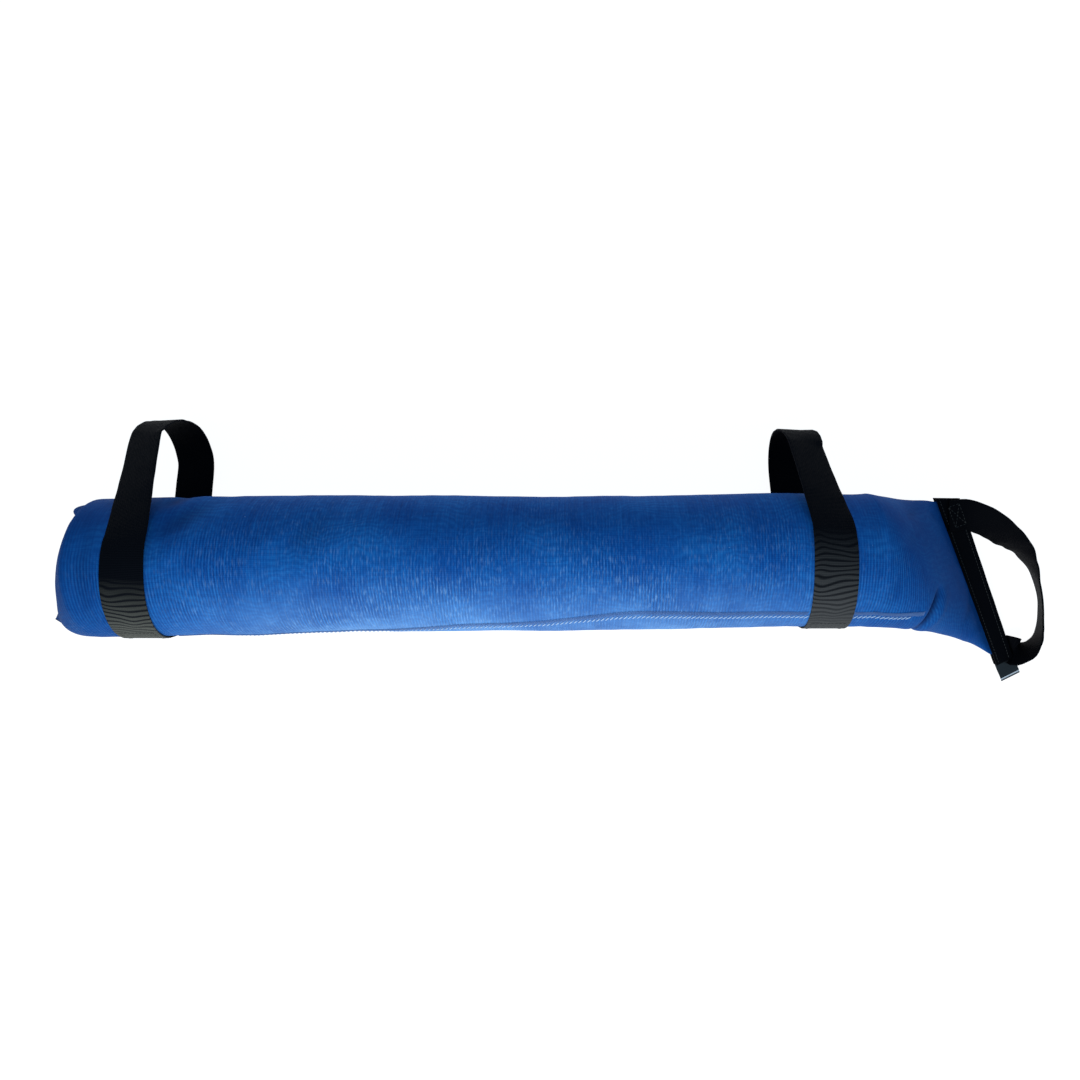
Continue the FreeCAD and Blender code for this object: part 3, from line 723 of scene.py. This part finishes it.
def on_cloth(x, degrees, lift=0.0):
    """Point on the cloth at a place along the bag and an angle about its axis, and the cloth's direction."""
    turn = math.radians(degrees)
    away = Vector((0, math.cos(turn), math.sin(turn)))
    middle = Vector((x, middle_y(x), AXIS_Z))
    spot, normal, _, _ = cloth_tree.ray_cast(middle + away * 0.15, -away)
    if spot is None:
        spot, normal = middle + away * radius_at(x), away
    return spot + normal * lift, normal


STITCH_PITCH, STITCH_LENGTH, STITCH_RADIUS = 0.0034, 0.0027, 0.0003
BOX_STITCH_LENGTH = 0.0026


def make_stitches(name, places, length, radius, finish):
    """One bead of thread at every place, given as its middle, its direction and the cloth's direction."""
    clear_selection()
    bpy.ops.mesh.primitive_uv_sphere_add(segments=8, ring_count=6, radius=1.0, location=(0, 0, 0))
    rows = bpy.context.object
    rows.name = rows.data.name = name
    bead = np.array([v.co for v in rows.data.vertices]) * (radius, radius * 0.8, length / 2)
    faces = [tuple(f.vertices) for f in rows.data.polygons]
    points, all_faces = [], []
    for middle, run, normal in places:
        run = run.normalized()
        side = normal.cross(run).normalized()
        turned = bead @ np.array([side, run.cross(side), run])
        all_faces += [tuple(i + len(points) * len(bead) for i in f) for f in faces]
        points.append(turned + np.array(middle))
    rows.data.clear_geometry()
    rows.data.from_pydata(np.concatenate(points).tolist(), [], all_faces)
    pick(rows)
    bpy.ops.object.shade_smooth()
    finish_piece(rows, finish)
    return rows


def seam_turn(x):
    return smooth_table(x, SEAM_X, SEAM_TURN)


def seam_beads(start, end, pitch, degrees_off, slant):
    """Slanting stitches along the long seam, skipping where the straps cover it."""
    places, x = [], start
    while x < end:
        covered = any(abs(x - at) < 0.0185 for at in STRAP_X.values())
        if not covered:
            spot, normal = on_cloth(x, seam_turn(x) + degrees_off, 0.0003)
            ahead, _ = on_cloth(x + 0.004, seam_turn(x + 0.004) + degrees_off, 0.0003)
            run = (ahead - spot).normalized()
            lean = normal.cross(run) * slant
            places.append((spot, run + lean + normal * 0.1 * noise.noise(spot * 400), normal))
        x += pitch
    return places


zigzag = make_stitches("long_seam_zigzag", seam_beads(-0.345, 0.335, 0.0041, 3.4, 1.1), 0.0058, 0.00070,
                       BLUE_THREAD)
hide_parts("long_seam_stitching")
lip_places = seam_beads(-0.345, 0.345, 0.0012, -1.6, 4.0)
lip = make_stitches("long_seam_overlock", lip_places, 0.0062, 0.00045, SEAM_THREAD)
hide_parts("long_seam_lap")

# %% [markdown]
# Every strap is a flat tape that follows a line in space. A plain grid is laid out at the tape's real
# length and width, each row is carried to its place on the line and turned with it, and a thickness is
# given last. The flat pattern keeps real lengths, so the woven ribs stay evenly spaced however the tape
# bends.

# %% Tape maker
def tape_line(stations, spacing):
    """Even rows along a smooth line. A station is a point and the tape's sideways direction."""
    points = np.array([tuple(p) for p, _ in stations])
    sides = np.array([tuple(s) for _, s in stations])
    dense_p, dense_s = [], []
    count = len(points)
    for k in range(count - 1):
        a, b, c, d = (points[max(k - 1, 0)], points[k], points[k + 1], points[min(k + 2, count - 1)])
        for t in np.linspace(0, 1, 24, endpoint=False):
            dense_p.append(0.5 * (2 * b + (c - a) * t + (2 * a - 5 * b + 4 * c - d) * t * t
                                  + (3 * b - a - 3 * c + d) * t ** 3))
            w = t * t * (3 - 2 * t)
            dense_s.append(sides[k] * (1 - w) + sides[k + 1] * w)
    dense_p.append(points[-1])
    dense_s.append(sides[-1])
    dense_p, dense_s = np.array(dense_p), np.array(dense_s)
    lengths = np.concatenate([[0], np.cumsum(np.linalg.norm(np.diff(dense_p, axis=0), axis=1))])
    rows = max(4, int(round(lengths[-1] / spacing)))
    wanted = np.linspace(0, lengths[-1], rows + 1)
    line = np.stack([np.interp(wanted, lengths, dense_p[:, i]) for i in range(3)], axis=1)
    side = np.stack([np.interp(wanted, lengths, dense_s[:, i]) for i in range(3)], axis=1)
    return line, side, lengths[-1]


def make_tape(name, stations, width, columns=12, spacing=0.003, thickness=WEBBING, start_length=0.0):
    """Flat tape along a line. start_length is where its flat pattern begins."""
    line, side, length = tape_line(stations, spacing)
    rows = len(line) - 1
    clear_selection()
    bpy.ops.mesh.primitive_grid_add(x_subdivisions=columns, y_subdivisions=rows, size=1.0,
                                    location=(0, 0, 0))
    tape = bpy.context.object
    tape.name = tape.data.name = name
    mesh = tape.data
    pattern = mesh.uv_layers[0]
    pattern.name = "flat_pattern"
    runs = np.gradient(line, axis=0)
    flat = {}
    for v in mesh.vertices:
        across = v.co.x
        row = int(round((v.co.y + 0.5) * rows))
        run = Vector(runs[row]).normalized()
        s = Vector(side[row])
        s = (s - run * s.dot(run)).normalized()
        flat[v.index] = (across * width, start_length + length * row / rows)
        v.co = Vector(line[row]) + s * (across * width)
    for loop in mesh.loops:
        pattern.data[loop.index].uv = flat[loop.vertex_index]
    pick(tape)
    wall = tape.modifiers.new("thickness", "SOLIDIFY")
    wall.thickness, wall.offset = thickness, 0.0
    wall.use_even_offset = False
    bpy.ops.object.modifier_apply(modifier=wall.name)
    rim = tape.modifiers.new("rounded_edges", "BEVEL")
    rim.width, rim.segments, rim.limit_method, rim.angle_limit = thickness * 0.3, 2, "ANGLE", 1.0
    bpy.ops.object.modifier_apply(modifier=rim.name)
    bpy.ops.object.shade_smooth_by_angle(angle=math.radians(40))
    print(name, "length", round(length * 1000), "mm")
    return tape, length


# %% [markdown]
# Each carry strap goes once round the bag, sewn down on the near side. It leaves the top of the bag in a
# straight run, turns over in a round bend and comes back flat along the floor. Its upper run is twisted a
# little, the edge towards the middle of the bag standing higher. It is made as two tapes that overlap by a
# few millimetres at the bend's outermost point.

# %% Carry straps
STRAP_WIDTH = 0.039
STRAPS = {  # place on the bag, reach, bend radius, way of the twist, slant round the bag
    "left": (-0.3655, 0.1385, 0.039, 1, -0.0110),
    "right": (0.2560, 0.1295, 0.038, -1, 0.0070),
}
# How far the loop stands aside: where the bend starts, its outermost point, its end, back at the bag.
SIDEWAYS = {
    "left": (-0.0095, -0.0020, 0.0050, -0.0030),
    "right": (-0.0110, -0.0138, -0.0105, -0.0020),
}


def strap_stations(side):
    x0, reach, bend, twist_way, slant = STRAPS[side]
    drift, outermost, turned, back = SIDEWAYS[side]
    mid = middle_y(x0)
    on_bag = radius_at(x0) + STRAP_LIFT
    bag_z = middle_z(x0)
    centre_y, bend_z = reach + AXIS_Y - mid - bend, bend
    inner = bend - WEBBING / 2
    span = math.hypot(centre_y, bend_z - bag_z)
    leave = math.atan2(bend_z - bag_z, centre_y) + math.acos((on_bag - inner) / span)

    def station(y, z, angle, along, twist=0.0):
        """angle is the outward normal's; twist turns the tape about its run."""
        normal = Vector((0, math.cos(angle), math.sin(angle)))
        across = Vector((1, 0, 0)) * math.cos(twist) + normal * math.sin(twist)
        return Vector((x0 + along, mid + y, z)), across

    over, steps = [], 13
    for k in range(steps):
        t = k / (steps - 1)
        angle = mix(math.pi, leave, t)
        side_step = slant * max(angle / (math.pi / 2) - 1, 0) ** 1.4
        over.append(station(on_bag * math.cos(angle), bag_z + on_bag * math.sin(angle), angle,
                            side_step, twist_way * math.radians(7) * t ** 4))
    bag_leave = (on_bag * math.cos(leave), bag_z + on_bag * math.sin(leave))
    bend_start = (centre_y + inner * math.cos(leave), bend_z + inner * math.sin(leave))
    for t, twist in ((0.25, 12), (0.5, 17), (0.75, 20), (1.0, 21)):
        over.append(station(mix(bag_leave[0], bend_start[0], t), mix(bag_leave[1], bend_start[1], t),
                            leave, drift * t, twist_way * math.radians(twist)))
    for t in (0.25, 0.5, 0.75, 1.0):
        angle = leave * (1 - t)
        over.append(station(centre_y + inner * math.cos(angle), bend_z + inner * math.sin(angle), angle,
                            mix(drift, outermost, t ** 1.3), twist_way * math.radians(mix(19, -2, t))))
    # the second tape starts a little before the first one ends, so that no slit opens between them
    (before, before_across), (apex, apex_across) = over[-2:]
    under = [(before.lerp(apex, 0.8), before_across.lerp(apex_across, 0.8)), over[-1]]
    edge = 0.0190  # a twisted tape stands on its edge, this far from its middle line
    for t in (0.25, 0.5, 0.75, 1.0):
        angle = -math.pi / 2 * t
        twist = math.radians(mix(-2, -7, t))
        lift = edge * abs(math.sin(twist)) * t
        under.append(station(centre_y + inner * math.cos(angle), bend_z + inner * math.sin(angle) + lift,
                             angle, mix(outermost, turned, t), twist_way * twist))
    flat_z = WEBBING / 2
    for t in (0.3, 0.65, 1.0):
        twist = math.radians(mix(-7, 0, t))
        under.append(station(mix(centre_y, 0.024, t), flat_z + edge * abs(math.sin(twist)), -math.pi / 2,
                             mix(turned, back, t), twist_way * twist))
    under.append(station(0.0, flat_z, -math.pi / 2, mix(back, slant, 0.4)))
    under.append(station(-0.018, flat_z, -math.pi / 2, slant * 0.6))
    for k in range(1, 7):
        angle = mix(-math.radians(114), -math.radians(182), k / 6)
        under.append(station(on_bag * math.cos(angle), bag_z + on_bag * math.sin(angle), angle,
                             slant * mix(0.6, 1.0, k / 6)))
    return over, under


for side in STRAPS:
    over, under = strap_stations(side)
    top, top_length = make_tape(side + "_carry_strap_over", over, STRAP_WIDTH)
    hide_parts(side + "_strap_upper", side + "_strap_sewn", side + "_handle_loop")
    finish_piece(top, SHEENED_STRAP_WEBBING[side], None)
    mid = middle_y(STRAPS[side][0])
    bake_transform(top)
    low, low_length = make_tape(side + "_carry_strap_under", under, STRAP_WIDTH, start_length=top_length)
    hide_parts(side + "_strap_lower")
    finish_piece(low, BLACK_WEBBING, None)
    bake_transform(low)
    print(side, "strap is", round((top_length + low_length) * 1000), "mm round")

# %% [markdown]
# A second tape is folded in half over the raw edge of the flat end and sewn through. Here it is laid along
# the seam as a folded channel: its cross-section goes along the top, round the edge and back underneath.

# %% Binding of the sewn end
def make_binding(name, start, end, out, up, width, half_gap, waviness, slant_cut=0.0, taper=0.0):
    """Tape folded lengthwise over an edge from start to end, which may be cut aslant at its start."""
    run = end - start
    length = run.length
    rows, columns = int(length / 0.003), 22
    clear_selection()
    bpy.ops.mesh.primitive_grid_add(x_subdivisions=columns, y_subdivisions=rows, size=1.0,
                                    location=(0, 0, 0))
    channel = bpy.context.object
    channel.name = channel.data.name = name
    mesh = channel.data
    pattern = mesh.uv_layers[0]
    pattern.name = "flat_pattern"
    flat, bend = {}, half_gap
    straight = width - bend
    total = 2 * straight + math.pi * bend
    for v in mesh.vertices:
        s, t = (v.co.x + 0.5) * total, v.co.y + 0.5
        if s < straight:
            o, u = s, bend
        elif s > total - straight:
            o, u = total - s, -bend
        else:
            turn = (s - straight) / bend
            o, u = straight + bend * math.sin(turn), bend * math.cos(turn)
        o *= 1 - taper * t
        place = start + run * t + run.normalized() * (slant_cut * o * (1 - t) ** 2)
        wave = waviness * noise.noise(Vector((t * length * 45, s * 12, 3.1)))
        flat[v.index] = (s, t * length)
        v.co = place + out * (o + wave * 0.5) + up * (u + wave * (1 - o / width) * (1 if u > 0 else -1))
    for loop in mesh.loops:
        pattern.data[loop.index].uv = flat[loop.vertex_index]
    pick(channel)
    wall = channel.modifiers.new("thickness", "SOLIDIFY")
    wall.thickness, wall.offset = 0.0012, 0.0
    bpy.ops.object.modifier_apply(modifier=wall.name)
    bpy.ops.object.shade_smooth_by_angle(angle=math.radians(40))
    return channel


binding = make_binding("sewn_end_binding", seam_point(-SEAM_HALF - 0.0015, 0.0005, 0),
                       seam_point(SEAM_HALF - 0.004, 0.0005, 0), SEAM_OUT, SEAM_UP, 0.0228, 0.0022, 0.0006,
                       SLANT_CUT, 0.16)
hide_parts("right_end_binding")
finish_piece(binding, BLACK_WEBBING)


def run_of_stitches(start, end, pitch):
    """Places of straight stitches from start to end, with a gap between each two."""
    run = end - start
    count = int(run.length / pitch)
    return [(start + run * ((k + 0.5) / count), run) for k in range(count)]


rows = []
for far_out, near_out in ((0.0035, 0.0032), (0.0182, 0.0148)):
    for up in (0.0030, -0.0030):
        rows += [(p, run, SEAM_UP) for p, run in run_of_stitches(
            seam_point(-SEAM_HALF + SLANT_CUT * far_out, far_out, up),
            seam_point(SEAM_HALF - 0.006, near_out, up), STITCH_PITCH)]
row = make_stitches("sewn_end_stitches", rows, STITCH_LENGTH, STITCH_RADIUS, BLACK_THREAD)
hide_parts("right_binding_stitching")

# %% [markdown]
# The folded end is bound in the same way. Its flat lip is tucked under the bag, so from above only a black
# corner peeks out beside the floor.

# %% Tucked lip and its binding
TUCK_START, TUCK_RUN = Vector((-0.4854, -0.0771, 0)), Vector((0.522, 0.853, 0))
TUCK_IN = Vector((-0.853, 0.522, 0))
TUCK_LENGTH, TUCK_WIDTH = 0.124, 0.0215


def tuck_point(run, inwards, height):
    """A point given along the tucked edge, in from it and up from the floor."""
    return TUCK_START + TUCK_RUN * run + TUCK_IN * inwards + UPRIGHT * height


tuck_binding = make_binding("tucked_end_binding", tuck_point(0, TUCK_WIDTH, 0.0027),
                            tuck_point(TUCK_LENGTH, TUCK_WIDTH, 0.0027), -TUCK_IN, UPRIGHT,
                            TUCK_WIDTH, 0.0021, 0.0003)
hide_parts("left_end_binding")
finish_piece(tuck_binding, BLACK_WEBBING)
tuck_places = [(p, run, UPRIGHT) for p, run in run_of_stitches(
    tuck_point(0.003, 0.0150, 0.0056), tuck_point(TUCK_LENGTH - 0.003, 0.0150, 0.0056), STITCH_PITCH)]
tuck_row = make_stitches("tucked_end_stitches", tuck_places, STITCH_LENGTH, STITCH_RADIUS, BLACK_THREAD)
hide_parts("left_binding_stitching")

# %% [markdown]
# The end loop is a narrower tape sewn at both ends of the flat seam. It leaves the far end lying flat,
# rolls over on its edge so that it stands on the floor, and comes in under the corner with the label.

# %% End loop
LOOP_WIDTH = 0.030


def end_loop_stations():
    """Middle line and sideways direction of the tape, from the far root round to the near one."""
    near = SEAM_HALF - 0.011
    flat = [(seam_point(-SEAM_HALF + run, out, 0.0042), across) for run, out, across in (
        (0.0200, 0.006, -SEAM_RUN), (0.0225, 0.013, (-SEAM_RUN + SEAM_OUT * 0.12).normalized()),
        (0.0260, 0.0215, (-SEAM_RUN + SEAM_OUT * 0.30).normalized()))]
    back = [(seam_point(near, out, -0.0038), SEAM_RUN) for out in (0.022, 0.014, 0.006)]
    free = (  # millimetres: the middle line, then the sideways direction, as the tape turns up on its edge
        ((420.5, 34.0, 48.5), (-0.05, 0.86, 0.48)), ((434.0, 27.5, 46.5), (0.05, 0.74, 0.66)),
        ((448.0, 18.5, 42.5), (0.05, 0.58, 0.80)), ((462.5, 8.5, 37.5), (-0.05, 0.36, 0.93)),
        ((475.0, -4.0, 31.0), (-0.22, 0.18, 0.95)), ((488.0, -22.5, 23.0), (-0.38, 0.06, 0.92)),
        ((496.5, -44.0, 17.5), (-0.40, 0.02, 0.92)), ((498.3, -62.0, 15.5), (-0.37, 0.00, 0.93)),
        ((497.2, -77.5, 15.0), (-0.32, -0.10, 0.94)), ((492.3, -89.0, 15.0), (-0.28, -0.28, 0.92)),
        ((484.0, -97.5, 13.0), (-0.14, -0.52, 0.84)), ((476.5, -99.0, 8.5), (0.12, -0.78, 0.55)))
    return flat + [(Vector(p) / 1000, Vector(s).normalized()) for p, s in free] + back


loop, _ = make_tape("end_loop_tape", end_loop_stations(), LOOP_WIDTH, columns=10, spacing=0.0025)
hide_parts("end_loop", "end_loop_far_tab", "end_loop_near_tab")
finish_piece(loop, BLACK_WEBBING, None)
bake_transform(loop)

# %% [markdown]
# Each strap is sewn down on the near side with a closed box of stitches, and each root of the end loop has
# a small box with a cross, the usual way to fasten a tape that is pulled on.

# %% Stitches of the straps and of the end loop's roots
BOX_HALF = 0.0155  # half the width of a strap's box of stitches

for side in STRAPS:
    x0, slant = STRAPS[side][0], STRAPS[side][4]
    mid, bag_z = middle_y(x0), middle_z(x0)
    face = radius_at(x0) + STRAP_LIFT + WEBBING / 2 + 0.0001

    def on_strap(across, degrees):
        turn = math.radians(degrees)
        shift = slant * (max(degrees / 90 - 1, 0) ** 1.4 if degrees < 180 else 1.0)
        return Vector((x0 + shift + across, mid + face * math.cos(turn), bag_z + face * math.sin(turn)))

    def radial(p):
        return Vector((0, p.y - mid, p.z - bag_z)).normalized()

    places = []
    for across in (-BOX_HALF, BOX_HALF):
        for k in range(18):
            a, b = on_strap(across, 153 + k * 3), on_strap(across, 155 + k * 3)
            places.append(((a + b) / 2, b - a, radial(a)))
    for degrees in (153, 207):
        places += [(p, run, radial(p)) for p, run in run_of_stitches(
            on_strap(-BOX_HALF, degrees), on_strap(BOX_HALF, degrees), STITCH_PITCH)]
    sewn = make_stitches(side + "_strap_stitches", places, BOX_STITCH_LENGTH, STITCH_RADIUS,
                         BLACK_THREAD)
    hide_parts(side + "_strap_stitching")

for name, middle, up in (("far", -SEAM_HALF + 0.0225, 0.00515), ("near", SEAM_HALF - 0.011, -0.00475)):
    corners = [seam_point(middle + r, o, up) for r, o in
               ((-0.011, 0.008), (0.011, 0.008), (0.012, 0.019), (-0.010, 0.019))]
    lines = [(corners[k], corners[(k + 1) % 4]) for k in range(4)] + [corners[0::2], corners[1::2]]
    places = [(p, run, SEAM_UP) for a, b in lines for p, run in run_of_stitches(a, b, 0.0032)]
    tack = make_stitches("end_loop_" + name + "_tack", places, BOX_STITCH_LENGTH, STITCH_RADIUS,
                         BLACK_THREAD)
    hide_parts("end_loop_" + name + "_bartack")

# %% [markdown]
# A small woven label is caught in the corner of the binding. It is a folded ribbon; it carries only a plain
# pale stripe here, with no words or mark.

# %% Label
def make_label_finish():
    material, tree = new_material("woven_label_satin")
    pattern = add_node(tree, "ShaderNodeUVMap", uv_map="flat_pattern")
    split = add_node(tree, "ShaderNodeSeparateXYZ", {"Vector": pattern.outputs["UV"]})
    length = add_node(tree, "ShaderNodeMath", {0: split.outputs["Y"]}, operation="MULTIPLY", values={1: 45.0})
    stripe = add_node(tree, "ShaderNodeValToRGB", {"Fac": length.outputs[0]})
    ramp = stripe.color_ramp
    ramp.interpolation = "CONSTANT"
    ramp.elements[0].color = hex_colour("0B0D12")
    ramp.elements[1].position, ramp.elements[1].color = 0.78, hex_colour("C4CAD2")
    ramp.elements.new(0.84).color = hex_colour("0B0D12")
    satin = add_node(tree, "ShaderNodeBsdfPrincipled", {"Base Color": stripe.outputs["Color"]},
                     values={"Roughness": 0.4})
    add_node(tree, "ShaderNodeOutputMaterial", {"Surface": satin.outputs[0]})
    return material


LABEL_SATIN = make_label_finish()
label_run = Vector((SEAM_RUN.x, SEAM_RUN.y, -0.17)).normalized()
label_start = seam_point(SEAM_HALF - 0.005, 0.0105, 0.0)
label, _ = make_tape("corner_label", [
    (label_start, SEAM_OUT), (label_start + label_run * 0.008, SEAM_OUT),
    (label_start + label_run * 0.015 + Vector((0, 0, 0.0006)), SEAM_OUT),
    (label_start + label_run * 0.0205, SEAM_OUT)], 0.021, columns=8, spacing=0.0015, thickness=0.0006)
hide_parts("woven_label")
finish_piece(label, LABEL_SATIN, "label")

# %% [markdown]
# What lies inside is only seen when the bag is opened: a foam wrap, the sleeve of shredded textile with its
# tied neck, and under the folded end the tucked flap. These measured pieces are kept and get their own
# finishes, with the open cells of the foam, the weave of the lining and the mixed shreds drawn at their
# real size.

# %% Finishes of the measured pieces
def make_grain(name, dark, pale, size, roughness, stretch=(1, 1, 1)):
    """Soft stuff with a grain of the given size."""
    material, tree = new_material(name)
    place = add_node(tree, "ShaderNodeTexCoord")
    scaled = add_node(tree, "ShaderNodeMapping", {"Vector": place.outputs["Object"]},
                      values={"Scale": stretch})
    cells = add_node(tree, "ShaderNodeTexVoronoi", {"Vector": scaled.outputs[0]}, values={"Scale": 1 / size})
    cloud = add_node(tree, "ShaderNodeTexNoise", {"Vector": scaled.outputs[0]},
                     values={"Scale": 0.2 / size, "Detail": 3.0})
    height = add_node(tree, "ShaderNodeMath", {0: cells.outputs["Distance"], 1: cloud.outputs["Fac"]},
                      operation="MULTIPLY")
    tone = add_node(tree, "ShaderNodeValToRGB", {"Fac": height.outputs[0]})
    tone.color_ramp.elements[0].color = hex_colour(dark)
    tone.color_ramp.elements[1].position, tone.color_ramp.elements[1].color = 0.5, hex_colour(pale)
    bump = add_node(tree, "ShaderNodeBump", {"Height": height.outputs[0]},
                    values={"Strength": 0.5, "Distance": size * 0.3})
    soft = add_node(tree, "ShaderNodeBsdfPrincipled",
                    {"Base Color": tone.outputs["Color"], "Normal": bump.outputs["Normal"]},
                    values={"Roughness": roughness, "Specular IOR Level": 0.2})
    add_node(tree, "ShaderNodeOutputMaterial", {"Surface": soft.outputs[0]})
    return material


FINISHES = {
    "foam_wrap": make_grain("open_cell_foam", "6E6E70", "A8A8AA", 0.0015, 0.9),
    "filler_sleeve": make_grain("cotton_lining", "8C8A82", "C2C0B6", 0.0008, 0.85, (1, 3, 1)),
    "textile_fill": make_grain("shredded_textile", "3A3844", "9A8F86", 0.012, 0.95, (1, 2.5, 2)),
    "sleeve_tie": make_grain("braided_cord", "8A8778", "CFCBBB", 0.0015, 0.8),
    "left_end_flap": make_grain("blue_cotton_plain", "0B3C82", "1A5CA8", 0.0012, 0.8),
}
for name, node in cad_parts.items():
    if node.hide_render:
        continue
    node.data.materials.clear()
    node.data.materials.append(FINISHES.get(name, BLACK_THREAD))
    print("measured piece kept:", name)

# %% [markdown]
# The floor is a plain pale sheet, lit from within so that it stays white. The main light is one soft window
# low on the near side: it brightens the near flank, leaves the far flank dark and falls off towards both
# ends.

# %% Floor and light
clear_selection()
bpy.ops.mesh.primitive_plane_add(size=12.0, location=(0, 0, -0.0003))
floor = bpy.context.object
floor.name = "pale_floor"
floor_material, tree = new_material("pale_floor")
glow = add_node(tree, "ShaderNodeEmission", values={"Color": (1, 1, 1, 1), "Strength": 0.95})
paint = add_node(tree, "ShaderNodeBsdfDiffuse", values={"Color": (0.25, 0.25, 0.25, 1)})
both = add_node(tree, "ShaderNodeAddShader", {0: glow.outputs[0], 1: paint.outputs[0]})
add_node(tree, "ShaderNodeOutputMaterial", {"Surface": both.outputs[0]})
floor.data.materials.append(floor_material)

window_data = bpy.data.lights.new("window_light", "AREA")
window_data.shape, window_data.size, window_data.size_y = "RECTANGLE", 0.55, 0.30
window_data.energy = 5.8
window = bpy.data.objects.new("window_light", window_data)
window.location = (-0.03, -0.60, 0.575)
towards = Vector((-0.03, AXIS_Y, AXIS_Z)) - window.location
window.rotation_euler = towards.to_track_quat("-Z", "Y").to_euler()
window.visible_camera = False
bpy.context.scene.collection.objects.link(window)

world = bpy.data.worlds.new("soft_room")
world.use_nodes = True
world.node_tree.nodes["Background"].inputs["Color"].default_value = (0.50, 0.78, 1.0, 1)
world.node_tree.nodes["Background"].inputs["Strength"].default_value = 0.50
bpy.context.scene.world = world
bpy.context.scene.view_settings.view_transform = "Standard"
print("window light at", [round(c, 2) for c in window.location])
